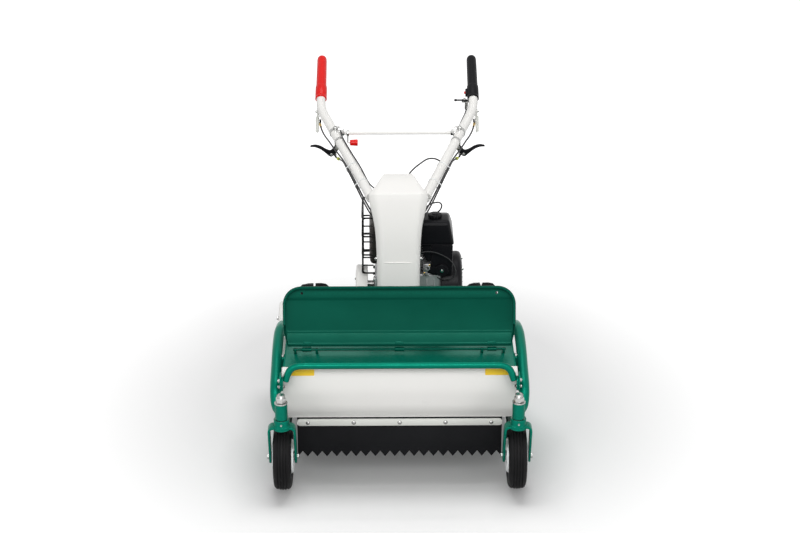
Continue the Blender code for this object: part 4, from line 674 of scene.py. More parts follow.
ENGINE_WIRE = [(0.031, 0.592, 0.552), (0.06, 0.6, 0.5535), (0.082, 0.6005, 0.555), (0.105, 0.603, 0.5555),
    (0.129, 0.606, 0.55), (0.156, 0.607, 0.537), (0.175, 0.607, 0.5235), (0.19, 0.607, 0.503),
    (0.197, 0.607, 0.4764), (0.19, 0.609, 0.456), (0.17, 0.614, 0.4445), (0.148, 0.624, 0.441),
    (0.135, 0.6385, 0.441)]
TANK_LOOP = [(0.07, 0.614, 0.668), (0.084, 0.634, 0.692), (0.106, 0.664, 0.704), (0.136, 0.694, 0.7),
    (0.15, 0.714, 0.682), (0.146, 0.728, 0.658), (0.134, 0.745, 0.6385)]
SPARK_LEAD = [(0.04, 0.903, 0.5285), (0.052, 0.918, 0.527), (0.078, 0.922, 0.515), (0.105, 0.914, 0.498),
    (0.13, 0.896, 0.478), (0.147, 0.872, 0.457), (0.158, 0.849, 0.437)]


def cables():
    for side, sign in SIDES.items():
        cable(f"clutch_cable_{side}", route_line(CLUTCH_ROUTE, sign))
        cable(f"side_cable_{side}", route_line(SIDE_ROUTE, sign), 0.0027)
    cable("throttle_cable", route_line(THROTTLE_ROUTE), 0.0025)
    cable("shift_cable", route_line(SHIFT_ROUTE), 0.0025)
    cable("column_hose", route_line(HOSE_ROUTE), 0.0028)
    cable("engine_wire", route_line(ENGINE_WIRE), 0.0017)
    cable("tank_hose", route_line(TANK_LOOP), 0.0026)


# Casters
def caster_tyre_profile():
    """A small tyre's section with four grooves round its crown."""
    tread, rim, half = CASTER_UP, 0.0595, 0.0297
    groove, deep, roundness = 0.0014, 0.0032, 9.0
    crown = []
    for middle in (-0.0135, -0.0045, 0.0045, 0.0135):
        top = tread - roundness * middle**2
        crown += [(top, middle - groove - 0.0012), (top - 0.0007, middle - groove),
            (top - deep, middle - groove * 0.6), (top - deep, middle + groove * 0.6), (top - 0.0007, middle
            + groove), (top, middle + groove + 0.0012)]
    side = [(rim, -0.79 * half), (0.066, -0.9 * half), (0.074, -0.985 * half), (0.084, -half),
        (0.093, -0.965 * half), (0.0995, -0.875 * half), (0.104, -0.74 * half)]
    return side + crown + other_half(side)


def casters(side, sign):
    across = sign * CASTER_ACROSS
    axle = at(across, 0.0, CASTER_UP)
    wheel, fork = f"caster_wheel_{side}", f"caster_{side}"
    piece(f"caster_tyre_{side}", [turned(caster_tyre_profile(), axle, ACROSS, 72)], TYRE, wheel, 28)
    half = [(0.0066, 0.0367), (0.0125, 0.0367), (0.015, 0.0355), (0.0168, 0.031), (0.0185, 0.0075),
        (0.0425, 0.006), (0.0458, 0.016), (0.0472, 0.03), (0.0486, 0.033), (0.0516, 0.0336), (0.0534, 0.0316),
        (0.0546, 0.028), (0.0578, 0.0264), (0.0594, 0.025)]
    disc = turned(half + other_half(half), axle, ACROSS, 64)
    rib = block((-0.023, MIDDLE - 0.0018, 0.016), (0.023, MIDDLE + 0.0018, 0.046), 0.0008)
    ribs = repeated(rib, 10, axle, turn=(math.pi / 5, 0, 0))
    piece(f"caster_hub_{side}", [disc, ribs], WHITE_PLASTIC, wheel)
    seals = [turned(wall(0.0064, 0.0122, 0.0, 0.0003 * way), at(across + way * 0.0369, 0.0, CASTER_UP),
        ACROSS, 32) for way in (-1, 1)]
    piece(f"caster_seals_{side}", seals, BLACK, wheel)

    front, rear, top = -0.054, -0.016, 0.2426
    leg = [(rear, 0.221), (front, 0.221)] + arc((0.0, CASTER_UP), 0.022, 195, 375, 20)
    legs = [slab(leg, 0.007, side_on(across + way * 0.041), 0.0012, [hole((0.0, CASTER_UP), 0.0062)])
        for way in (-1, 1)]
    arch = [(0.041, 0.2195)] + arc((0.027, top - 0.0175), 0.014, 0, 90, 10)
    line = arch + [(-x, z) for x, z in reversed(arch)]
    strap = rounded((-0.0035, -0.019), (0.0035, 0.019), 0.0011, 3)
    bow = swept([at(across + x, (front + rear) / 2, z) for x, z in line], strap, up=BACK)
    top_place = at(across, -CASTER_TRAIL, 0)
    collar = turned([(0.0, 0.234), (0.03, 0.234), (0.03, 0.2425), (0.0262, 0.2455), (0.025, 0.249),
        (0.025, 0.264), (0.0238, 0.2664), (0.0, 0.2664)], top_place, UP, 48)
    boss = [turned(wall(0.0062, 0.0125, 0.0, 0.0008), at(across + way * 0.0447, 0.0, CASTER_UP), (way, 0, 0),
        32) for way in (-1, 1)]
    bead = weld_bead(top_place + Vector((0, 0, 0.2437)), UP, 0.0275, 0.0026)
    piece(f"caster_fork_{side}", [*legs, bow, collar, bead, *boss], GREEN, fork)
    nipple = turned([(0.0, 0.008), (0.0022, 0.0075), (0.0026, 0.006), (0.0018, 0.0045), (0.0032, 0.003),
        (0.0032, 0.0), (0.0, 0.0)], at(across, -CASTER_TRAIL - 0.0248, 0.2555), (0, -1, 0.2), 16)
    spindle = turned([(0.0, 0.352), (0.0105, 0.352), (0.0122, 0.35), (0.0122, 0.32), (0.0, 0.32)], top_place,
        UP, 32)
    thread = turned([(0.0122, 0.0), (0.0129, 0.0008), (0.0122, 0.0016)], top_place, UP, 24)
    threads = repeated(thread, 5, (0, 0, 0.344), (0, 0, 0.0016))
    washer = turned([(0.0125, 0.3223), (0.0202, 0.3223), (0.021, 0.323), (0.021, 0.3252), (0.0202, 0.326),
        (0.0125, 0.326)], top_place, UP, 48)
    nut = turned([(0.0122, 0.3262), (0.015, 0.3262), (0.0165, 0.3278), (0.0165, 0.34), (0.0148, 0.3425),
        (0.0122, 0.3425)], top_place, UP, 6)
    inner_washer = turned(wall(0.0125, 0.0225, 0.2666, 0.2672), top_place, UP, 40)
    piece(f"caster_spindle_{side}", [spindle, threads, washer, nut, nipple, inner_washer], ZINC, fork)
    rod = bar([at(across - 0.047, 0.0, CASTER_UP), at(across + 0.047, 0.0, CASTER_UP)], 0.006)
    head = [(0.0, 0.0518), (0.008, 0.0518), (0.01, 0.0503), (0.01, 0.0452), (0.0, 0.0452)]
    heads = [turned(head, axle, (way, 0, 0), 6) for way in (-1, 1)]
    piece(f"caster_axle_bolt_{side}", [rod, *heads], ZINC, fork)


# Frame pipes
def pipe_route(sign):
    route = [(0.381, -0.027, 0.29), (0.391, -0.008, 0.297), (0.396, 0.014, 0.32), (0.397, 0.042, 0.345),
        (0.397, 0.11, 0.368), (0.397, 0.2, 0.393), (0.396, 0.28, 0.404), (0.3925, 0.33, 0.402),
        (0.3915, 0.39, 0.382), (0.3915, 0.44, 0.356)]
    return route_line(route, sign)


def side_pipes(side, sign):
    route = pipe_route(sign)
    centre = at(sign * CASTER_ACROSS, -CASTER_TRAIL, 0)
    sleeve = turned([(0.0125, 0.2673), (0.0186, 0.2673), (0.02, 0.2687), (0.02, 0.3206), (0.0186, 0.322),
        (0.0125, 0.322)], centre, UP, 48)
    tab = slab(rounded((0.0, 0.34), (0.036, 0.398), 0.009, 6), 0.005, side_on(sign * 0.3785), 0.001)
    lug = block((sign * 0.3733, 0.15, 0.352), (sign * 0.388, 0.185, 0.384), 0.002)
    rear = block((sign * 0.3733, 0.345, 0.366), (sign * 0.388, 0.395, 0.372), 0.0015)
    web = slab([(-0.05, 0.2705), (-0.008, 0.276), (0.02, 0.312), (0.004, 0.318), (-0.05, 0.3185)], 0.004,
        side_on(sign * 0.3835), 0.0008)
    end = route[-1] - route[-2]
    cap = turned([(0.0, 0.0012), (0.015, 0.001), (0.0163, 0.0), (0.0, 0.0)], route[-1], end, 32)
    piece(f"side_pipe_{side}", [bar(route, 0.017, 32), sleeve, tab, lug, rear, web, cap], GREEN)
    out = (sign, 0, 0)
    places = [(at(sign * 0.3811, 0.018, 0.352), out), (at(sign * 0.3811, 0.018, 0.374), out)]
    places += [(at(sign * 0.3785, 0.1675, 0.3843), UP, 0.9), (at(sign * 0.376, 0.37, 0.3723), UP, 0.9)]
    piece(f"frame_bolts_{side}", [bolts(places, 0.0062, 0.0082)], ZINC)


def bumper():
    half = [(0.25, 0.03, 0.421), (0.3, 0.03, 0.421), (0.33, 0.03, 0.418), (0.35, 0.026, 0.405),
        (0.3637, 0.018, 0.372)]
    places = [at(-x, y, z) for x, y, z in reversed(half)] + [at(x, y, z) for x, y, z in half]
    feet, heads = [], []
    for sign in SIDES.values():
        feet.append(slab(rounded((0.002, 0.342), (0.034, 0.384), 0.008, 6), 0.005, side_on(sign * 0.3732),
            0.0009))
        heads.append((at(sign * 0.3706, 0.018, 0.352), (-sign, 0, 0)))
    piece("bumper_pipe", [bar(smooth_route(places), 0.011, 28), *feet], GREEN)
    piece("bumper_bolts", [bolts(heads, 0.0055, 0.0075)], ZINC)


# Mowing deck
SKIRT_FRONT, SKIRT_THICK, SKIRT_HALF = 0.1023, 0.005, 0.334
KNIVES, ROTOR_REACH = 28, 0.315
SHEET = 0.003
PANEL = [(0.0755, 0.392), (0.062, 0.383), (0.063, 0.31), (0.077, 0.24), (0.1, 0.197)]


def front_panel():
    sheet = slab(band(rounded_corners(PANEL, 0.02, 6), SHEET), 0.75, side_on(0), 0.0007)
    fold = SKIRT_FRONT + SKIRT_THICK + 0.0018
    flange = slab(band(rounded_corners([(0.095, 0.232), (fold, 0.22), (fold, 0.15)], 0.008, 4), SHEET),
        2 * SKIRT_HALF, side_on(0), 0.0007)
    hem = swept([at(across, *PANEL[-1]) for across in (-0.374, 0.374)], circle(0.0022, 12))
    piece("front_panel", [sheet, flange, hem], WHITE)
    patches = [slab(rounded((sign * 0.313 - 0.04, 0.369), (sign * 0.313 + 0.04, 0.3915), 0.003, 4), 0.0005,
        front_on(0.0602), 0.0001) for sign in SIDES.values()]
    piece("panel_patches", patches, YELLOW)


def skirt():
    half, front, low, top, teeth, depth = SKIRT_HALF, SKIRT_FRONT, 0.045, 0.203, 21, 0.021
    pitch = 2 * half / teeth
    notches = [(-half + (n / 2) * pitch, low + depth * (n % 2)) for n in range(2 * teeth + 1)]
    strip = slab([*notches, (half, top), (-half, top)], SKIRT_THICK, front_on(front + SKIRT_THICK / 2),
        0.0006)
    bead = block((-half, front - 0.0008, 0.194), (half, front + 0.004, 0.203), 0.001)
    piece("rubber_skirt", [strip, bead], RUBBER, angle=25)
    clamp = slab(rounded((-0.335, 0.164), (0.335, 0.188), 0.0115, 8), 0.006, front_on(front - 0.0033), 0.0009)
    piece("skirt_clamp_bar", [clamp], GREY)
    head = turned([(0.0, 0.0042), (0.0035, 0.0038), (0.0062, 0.0022), (0.0072, 0.0), (0.0, 0.0)], Vector(),
        FRONT, 28)
    count, gap, up = 5, 0.14925, 0.176
    heads = repeated(head, count, at(-2 * gap, front - 0.0063, up), (gap, 0, 0))
    nuts = bolts([(at((n - 2) * gap, 0.1108, up), BACK) for n in range(count)])
    piece("clamp_bolts", [heads, nuts], ZINC)


def guard():
    """The raised tray: a pan with a rim round three sides, two pressed creases and two small holes."""
    half, low, length, corner, inset, shoulder = 0.376, 0.01, 0.204, 0.055, 0.014, 0.07
    creases, fold, press = (0.05, 0.158), 0.01, 0.0036
    outline = [(-half + inset, low), (half - inset, low), (half - 0.002, shoulder - 0.012),
        (half, shoulder + 0.01)]
    outline += arc((half - corner, length - corner), corner, 0, 90, 18)
    outline += arc((-half + corner, length - corner), corner, 90, 180, 18)
    outline += [(-half, shoulder + 0.01), (-half + 0.002, shoulder - 0.012)]

    def ring(shape, inward, lift):
        centre = Vector((0, (low + length) / 2))
        found = []
        for n, point in enumerate(outline):
            before, after = Vector(outline[n - 1]), Vector(outline[(n + 1) % len(outline)])
            way = (after - before).normalized()
            move = Vector((-way.y, way.x))
            if move.dot(centre - Vector(point)) < 0:
                move = -move
            found.append(shape.verts.new((*(Vector(point) + move * inward), lift)))
        return found

    shape = bmesh.new()
    deep, rim = -0.011, 0.0105
    inside = [(0.012, deep + 0.002), (0.0075, deep + 0.0026), (0.0042, deep + 0.0048), (0.0024, deep + 0.009),
        (0.0021, rim - 0.001)]
    outside = [(0.0016, rim), (0.0006, rim), (0.0, rim - 0.001), (0.0, deep + 0.008), (0.002, deep + 0.0036),
        (0.006, deep + 0.0008), (0.0115, deep)]
    lofted(shape, [ring(shape, *step) for step in inside + outside])
    for level in [start + fold * n / 4 for start in creases for n in range(5)]:
        bmesh.ops.bisect_plane(shape, geom=shape.verts[:] + shape.edges[:] + shape.faces[:], dist=1e-6,
            plane_co=(0, level, 0), plane_no=BACK)
    for vertex in shape.verts:
        first, second = (min(1.0, max(0.0, (vertex.co.y - start) / fold)) for start in creases)
        if abs(vertex.co.x) < half - 0.006:
            vertex.co.z -= press * (first - second) ** 2 * (3 - 2 * (first - second))
    inward, narrower = 0.0036, 1 - 0.0036 / half
    edge = [(x, y) for x, y in outline if y > shoulder]
    edge = [(x * narrower, y - inward * (y > length - corner), 0.008) for x, y in edge]
    roll = bar(edge, 0.0048, 12)
    place = Matrix.Translation(at(0, *HINGE)) @ Matrix.Rotation(math.radians(GUARD_TILT), 4, "X")
    cutters = [turned(wall(0.0, 0.0042, -0.03, 0.03), Vector((x, length - 0.022, 0)), UP, 24)
        for x in (-0.316, 0.316)]
    pan = drilled(mesh_of([shape]), *cutters)
    pan.transform(place)
    bmesh.ops.transform(roll, matrix=place, verts=roll.verts)
    knuckles = []
    for x in (-0.3, 0.0, 0.3):
        knuckles.append(turned([(0.0043, -0.015), (0.0066, -0.015), (0.007, -0.0146), (0.007, 0.0146),
            (0.0066, 0.015), (0.0043, 0.015)], at(x, *HINGE), ACROSS, 28))
        tongue = block((-0.014, MIDDLE + 0.001, -0.0005), (0.014, MIDDLE + 0.018, 0.0025), 0.0008)
        bmesh.ops.transform(tongue, matrix=place @ Matrix.Translation((x, 0.007, -0.01)), verts=tongue.verts)
        knuckles.append(tongue)
    # The guard takes the darker copy of the green paint, which is painted shade
    piece("guard_plate", [pan, roll, *knuckles], SHADED_GREEN, "front_guard", 30)
    rod = bar([at(-0.345, *HINGE), at(0.345, *HINGE)], 0.004, 20)
    feet = [block((x - 0.004, HINGE[0] - 0.0085, 0.3933), (x + 0.004, HINGE[0] + 0.012, HINGE[1] + 0.001),
        0.0012) for x in (-0.338, -0.268, 0.268, 0.338)]
    # The hinge rod and feet take the same darker green, as painted shade
    piece("guard_hinge_rod", [rod], SHADED_GREEN)
    piece("hinge_feet", feet, SHADED_GREEN)


def deck():
    top = 0.393 - 0.00175
    line = [(0.078, top), (0.32, top)] + arc(ROTOR, 0.2175, 78, 0, 36) + [(0.5175, 0.1)]
    hood = slab(band(line, 0.0035), 2 * 0.3682, side_on(0), 0.0008)
    rib = block((-0.362, 0.296, 0.3905), (0.362, 0.304, 0.3945), 0.0015)
    piece("deck_hood", [hood, rib], GREEN)
    outline = [(0.0775, 0.3885), (0.0641, 0.3805), (0.0651, 0.31), (0.0791, 0.24), (0.124, 0.19),
        (0.124, 0.075), (0.164, 0.045), (0.47, 0.045), (0.535, 0.08), (0.545, 0.2)]
    outline += arc(ROTOR, 0.2375, 18, 66, 14) + [(0.365, 0.3885)]
    for side, sign in SIDES.items():
        sheet = slab(outline, 0.0045, side_on(sign * 0.37075), 0.001, [hole(ROTOR, 0.0342, 40)])
        runner = bar([at(sign * 0.368, back, 0.047) for back in (0.164, 0.47)], 0.004, 12)
        piece(f"side_plate_{side}", [sheet, runner], GREEN)
        profile = [(0.018, 0.3805), (0.0255, 0.3805), (0.0265, 0.379), (0.033, 0.3785), (0.0345, 0.377),
            (0.045, 0.3765), (0.046, 0.3755), (0.046, 0.3733), (0.034, 0.3733), (0.034, 0.3645),
            (0.018, 0.3645)]
        bearing = turned(profile, at(0, *ROTOR), (sign, 0, 0), 56)
        piece(f"rotor_bearing_{side}", [bearing], GREY)
        around = [(at(sign * 0.3768, ROTOR[0] + 0.0395 * math.cos(a), ROTOR[1] + 0.0395 * math.sin(a)),
            (sign, 0, 0), 0.75) for a in (math.radians(45 + 90 * n) for n in range(4))]
        piece(f"bearing_bolts_{side}", [bolts(around, 0.0062, 0.0078)], ZINC)
    flap = slab(rounded((-0.3625, 0.04), (0.3625, 0.16), 0.004, 3), 0.004, front_on(0.5216), 0.0008)
    piece("rear_flap", [flap], RUBBER)
    strip = block((-0.355, 0.5238, 0.14), (0.355, 0.5262, 0.158), 0.0006)
    piece("flap_strip", [strip], ZINC)
    piece("flap_bolts",
        [bolts([(at(x, 0.5262, 0.149), BACK) for x in (-0.33, -0.22, -0.145, 0.145, 0.22, 0.33)], 0.0055,
        0.0072)], ZINC)


def rotor():
    half = [(0.0, 0.345), (0.05, 0.345), (0.055, 0.342)]
    drum = turned(half + other_half(half), at(0, *ROTOR), ACROSS, 56)
    shaft = bar([at(-0.4055, *ROTOR), at(0.385, *ROTOR)], 0.0175, 32)
    blade = slab(rounded_corners([(-0.013, 0.046), (0.013, 0.046), (0.013, 0.118), (0.015, 0.143),
        (-0.015, 0.145), (-0.013, 0.118), (-0.013, 0.046)], 0.003, 2), 0.009, side_on(0)
        @ Matrix.Translation((MIDDLE, 0, 0)), 0.001)
    lug = block((-0.01, MIDDLE - 0.016, 0.05), (0.01, MIDDLE + 0.016, 0.073), 0.003)
    half = [(0.0, 0.0125), (0.0055, 0.012), (0.006, 0.01)]
    pin = turned(half + other_half(half), Vector((0, 0, 0.064)), ACROSS, 16)
    # Each knife stands a quarter turn on from the one beside it.
    start, step = at(-ROTOR_REACH, *ROTOR), (2 * ROTOR_REACH / (KNIVES - 1), 0, 0)
    knives, lugs, pins = (repeated(shape, KNIVES, start, step, (math.pi / 2, 0, 0), (0.3, 0, 0))
        for shape in (blade, lug, pin))
    piece("rotor", [drum, shaft, knives, lugs], STEEL, "knife_rotor")
    piece("knife_pins", [pins], ZINC, "knife_rotor")


def pulley(centre, radius, shaft):
    """A grooved pulley round a shaft that runs across."""
    half = [(shaft, 0.011), (radius + 0.003, 0.011), (radius + 0.004, 0.01), (radius - 0.008, 0.0045)]
    return turned(half + other_half(half), centre, ACROSS, 64)


def capsule_ring(first, second, first_radius, second_radius, width, thickness, across, bevel, steps):
    """A flat ring of one width round two places, in a plane across."""
    outer, inner = (capsule(first, second, first_radius - inset, second_radius - inset, steps)
        for inset in (0.0, width))
    return slab(outer, thickness, side_on(across), bevel, [inner])


def belt(first, second, across, first_radius, second_radius):
    return capsule_ring(first, second, first_radius + 0.001, second_radius + 0.001, 0.008, 0.0078, across,
        0.0008, 32)


def lidded(first, second, first_radius, second_radius, open_at, closed_at):
    """A belt cover: a wall round two pulleys, closed on one side, with a rounded shoulder."""
    wall_thick, corner, way = 0.002, 0.007, 1 if closed_at > open_at else -1
    # How far each ring is inside the outline and below the closed side
    inside = [(wall_thick + corner, wall_thick), (wall_thick + 0.3 * corner, wall_thick + 0.3 * corner),
        (wall_thick, wall_thick + corner)]
    shoulder = ((0.0, 1.0), (0.09, 0.62), (0.3, 0.3), (0.62, 0.09), (1.0, 0.0))
    outside = [(inward * corner, down * corner) for inward, down in shoulder]
    steps = [(inset, closed_at - way * depth) for inset, depth in inside]
    steps += [(wall_thick, open_at), (0.0, open_at)]
    steps += [(inset, closed_at - way * depth) for inset, depth in outside]
    shape = bmesh.new()
    return lofted(shape, [[shape.verts.new(at(across, y, z)) for y, z in capsule(first, second,
        first_radius - inset, second_radius - inset, 28)] for inset, across in steps])


def raised_ring(first, second, first_radius, second_radius, across):
    return capsule_ring(first, second, first_radius, second_radius, 0.005, 0.0024, across, 0.00072, 28)


def drive():
    piece("rotor_pulley", [pulley(at(ROTOR_BELT, *ROTOR), 0.047, 0.0177)], STEEL, "knife_rotor")
    shaft = bar([at(-0.4065, *COUNTER), at(-0.109, *COUNTER)], 0.0125)
    wheels = [pulley(at(across, *COUNTER), 0.052, 0.0124) for across in (ROTOR_BELT, ENGINE_BELT)]
    piece("counter_shaft", [shaft, *wheels], STEEL, "countershaft")
    crank = bar([at(-0.138, *CRANK), at(-0.0605, *CRANK)], 0.012)
    piece("engine_pulley", [crank, pulley(at(ENGINE_BELT, *CRANK), 0.04, 0.0119)], STEEL, "crank")
    piece("rotor_belt", [belt(ROTOR, COUNTER, ROTOR_BELT, 0.047, 0.052)], RUBBER)
    piece("engine_belt", [belt(COUNTER, CRANK, ENGINE_BELT, 0.052, 0.04)], RUBBER)
    outer = lidded(ROTOR, COUNTER, 0.082, 0.084, -0.3733, -0.4105)
    ring = raised_ring(ROTOR, COUNTER, 0.06, 0.062, -0.4105)
    dome = turned([(0.0, 0.0022), (0.02, 0.002), (0.026, 0.0)], at(-0.4104, *ROTOR), (-1, 0, 0), 40)
    piece("rotor_belt_cover", [outer, ring, dome], WHITE)
    inner = lidded(COUNTER, CRANK, 0.068, 0.068, -0.107, -0.147)
    inner = drilled(mesh_of([inner]), turned(wall(0.0, 0.0155, -0.17, -0.13), at(0, *COUNTER), ACROSS, 40))
    piece("engine_belt_cover", [inner, raised_ring(COUNTER, CRANK, 0.048, 0.048, -0.147)], WHITE)
    around = [(at(-0.4113, y, z), (-1, 0, 0)) for y, z in ((0.228, 0.17), (0.335, 0.11), (0.365, 0.265),
        (0.455, 0.18), (0.52, 0.345), (0.64, 0.27))]
    around += [(at(-0.1478, y, z), (-1, 0, 0), 0.8) for y, z in ((0.64, 0.378), (0.665, 0.28), (0.782, 0.37))]
    piece("cover_bolts", [bolts(around, 0.006, 0.0085)], ZINC)


def rear_wheels(side, sign):
    axle = at(sign * WHEEL_ACROSS, WHEEL_BACK, WHEEL_UP)
    body, half = f"drive_wheel_{side}", 0.058
    line = [(0.0698, 0.8), (0.076, 0.9), (0.08, 0.93), (0.082, 0.92), (0.095, 0.985), (0.112, 1.0),
        (0.13, 0.975), (0.142, 0.92), (0.1485, 0.83), (0.1515, 0.7), (0.1525, 0.4)]
    line = [(r, -s * half) for r, s in line]
    tyre = turned(line + other_half(line), axle, ACROSS, 96)
    rows = ((0.004, 0.163, 0.15, 0.0), (0.0244, 0.1628, 0.15, 0.008), (0.042, 0.159, 0.147, 0.016),
        (0.054, 0.147, 0.138, 0.021))
    lugs = []
    for way, first in ((1, 0.0), (-1, math.pi / 18)):
        lug = bmesh.new()
        rings = []
        for out, top, foot, slant in rows:
            section = ((-0.0085, foot), (-0.0055, top), (0.0055, top), (0.0085, foot))
            rings.append([lug.verts.new((way * out, slant + y, r)) for y, r in section])
        lofted(lug, rings)
        lugs.append(repeated(bevelled(lug, 0.0014), 18, axle, turn=(math.pi / 9, 0, 0),
            first_turn=(first, 0, 0)))
    piece(f"rear_tyre_{side}", [tyre, *lugs], TYRE, body, 30)
    disc = [(0, 0.024), (0.026, 0.024), (0.028, 0.008), (0.056, 0.008), (0.06, 0.046), (0.0696, 0.046),
        (0.0696, -0.046), (0.06, -0.046), (0.056, 0.002), (0.028, 0.002), (0.026, -0.04), (0.0125, -0.04),
        (0.0125, -0.225), (0, -0.225)]
    disc = turned(rounded_corners(disc, 0.002, 3), axle, (sign, 0, 0), 72)
    lip = turned([(0.0688, 0.0458), (0.07, 0.0475), (0.069, 0.049), (0.0665, 0.0485), (0.065, 0.0458)], axle,
        (sign, 0, 0), 72)
    piece(f"rear_wheel_{side}", [disc, lip], WHITE, body)
    around = [(at(sign * (WHEEL_ACROSS + 0.0082), WHEEL_BACK + 0.042 * math.cos(a), WHEEL_UP
        + 0.042 * math.sin(a)), (sign, 0, 0)) for a in (math.pi * n / 2 + 0.4 for n in range(4))]
    around.append((at(sign * (WHEEL_ACROSS + 0.0242), WHEEL_BACK, WHEEL_UP), (sign, 0, 0), 1.5))
    piece(f"wheel_nuts_{side}", [bolts(around, 0.0075, 0.0105)], ZINC, body)


def transmission():
    low, high = (WHEEL_BACK - 0.105, 0.088), (WHEEL_BACK + 0.07, 0.2447)
    case = slab(rounded(low, high, 0.018, 8), 0.12, side_on(0), 0.006, rounds=3)
    horn = lathe(wall(0.0128, 0.032, -0.095, 0.095), 0.003, 3, at(0, WHEEL_BACK, WHEEL_UP), ACROSS, 56)
    seam = slab(rounded((low[0] - 0.002, low[1] - 0.002), (high[0] + 0.002, high[1] - 0.001), 0.02, 8), 0.01,
        side_on(0), 0.0012)
    rib = block((-0.055, WHEEL_BACK - 0.1075, 0.115), (0.055, WHEEL_BACK - 0.1045, 0.119), 0.001)
    ribs = repeated(rib, 5, step=(0, 0, 0.024))
    plug = turned([(0.0, 0.009), (0.009, 0.009), (0.01, 0.008), (0.01, 0.0), (0.0, 0.0)],
        at(0.03, WHEEL_BACK + 0.0695, 0.2), BACK, 6)
    piece("transmission_case", [case, horn, seam, ribs, plug], ALUMINIUM)
    around = [(at(sign * 0.0602, WHEEL_BACK - 0.0175 + 0.072 * x, 0.166 + 0.064 * z), (sign, 0, 0))
        for sign in SIDES.values() for x, z in ((-1, -1), (-1, 1), (1, -1), (1, 1), (-1, 0), (1, 0))]
    piece("case_bolts", [bolts(around, 0.006, 0.008)], ZINC)


def bed():
    outline = [(-0.175, 0.526), (-0.1475, 0.526), (-0.1475, 0.664), (-0.1065, 0.664), (-0.1065, 0.526),
        (0.175, 0.526), (0.175, 0.94), (-0.175, 0.94)]
    plate = slab(outline, 0.006, lying(0.248), 0.001)
    rails = [block((sign * 0.08 - 0.015, 0.5226, 0.217), (sign * 0.08 + 0.015, 0.93, 0.247), 0.003)
        for sign in SIDES.values()]
    tie = block((-0.12, 0.5196, 0.163), (0.12, 0.5256, 0.221), 0.002)
    housing = lathe(wall(0.0135, 0.024, -0.3755, -0.15), 0.002, 3, at(0, *COUNTER), ACROSS)
    web = block((-0.345, 0.561, 0.248), (-0.152, 0.589, 0.28), 0.002)
    arm = block((-0.34, 0.559, 0.231), (-0.15, 0.591, 0.255), 0.002)
    gusset = slab([(0.53, 0.2505), (0.552, 0.2505), (0.534, 0.275), (0.53, 0.275)], 0.004, side_on(0.11),
        0.0006)
    beads = [weld_bead(at(across, *COUNTER), ACROSS, 0.0236) for across in (-0.34, -0.156)]
    piece("engine_bed", [plate, *rails, tie, housing, web, arm, gusset, *beads], GREEN)
    heads = [(at(x, y, 0.2593), UP) for x in (-0.045, 0.045) for y in (0.5415, 0.59)]
    heads += [(at(x, y, 0.2512), UP, 1.2) for x, y in ((-0.1, 0.66), (0.163, 0.66), (-0.1, 0.865),
        (0.163, 0.865), (0.0, 0.905), (0.12, 0.905), (-0.12, 0.905))]
    heads += [(at(x, 0.5198, 0.18), FRONT) for x in (-0.1, 0.1)]
    piece("bed_bolts", [bolts(heads, 0.0065, 0.009)], ZINC)


def engine():
    case = block((-0.08, 0.64, 0.2513), (0.15, 0.85, 0.455), 0.01, 4)
    feet = [block((x, 0.642, 0.2513), (x + 0.03, 0.848, 0.262), 0.003) for x in (-0.096, 0.136)]
    ribs = [repeated(block((-0.06, back, 0.275), (-0.056, back + 0.004, 0.435), 0.0012), 8,
        step=(0.026, 0, 0)) for back in (0.6375, 0.8485)]
    flange = block((-0.0815, 0.6385, 0.33), (-0.07, 0.8515, 0.44), 0.004)
    cylinder = block((-0.016, 0.674, 0.445), (0.12, 0.87, 0.5717), 0.01, 3)
    fin = slab(rounded((-0.026, 0.664), (0.13, 0.88), 0.01, 5), 0.002, lying(0.464), 0.0006)
    fins = repeated(fin, 12, step=(0, 0, 0.0088))
    whole = drilled(mesh_of([case]), turned(wall(0.0, 0.0128, -0.03, 0.025), at(-0.08, *CRANK), ACROSS, 40))
    hub = lathe([(0.0135, 0.0), (0.03, 0.0), (0.026, 0.006), (0.0135, 0.006)], 0.001, 2, at(-0.0795, *CRANK),
        (-1, 0, 0), 48)
    piece("engine_block", [whole, *feet, *ribs, flange, cylinder, fins, hub], ALUMINIUM)
    around = [(at(-0.0814, y, z), (-1, 0, 0)) for y, z in ((0.652, 0.345), (0.652, 0.428), (0.838, 0.345),
        (0.838, 0.428), (0.745, 0.432), (0.7, 0.345))]
    around += [(at(0.02, 0.8512, 0.29), BACK, 1.3)]
    piece("engine_bolts", [bolts(around, 0.0058, 0.0075)], ZINC)
    filler = lathe([(0.0, 0.03), (0.015, 0.03), (0.017, 0.022), (0.014, 0.018), (0.014, 0.0), (0.0, 0.0)],
        0.002, 3, at(0.1, 0.848, 0.32), (0, 1, 0.35), 12)
    boot = lathe([(0.0, 0.036), (0.009, 0.036), (0.0105, 0.024), (0.0085, 0.0), (0.0, 0.0)], 0.002, 3,
        at(0.04, 0.872, 0.52), (0, 1, 0.25), 24)
    piece("filler_and_boot", [filler, boot], BLACK)
    cable("spark_lead", route_line(SPARK_LEAD), 0.0035)


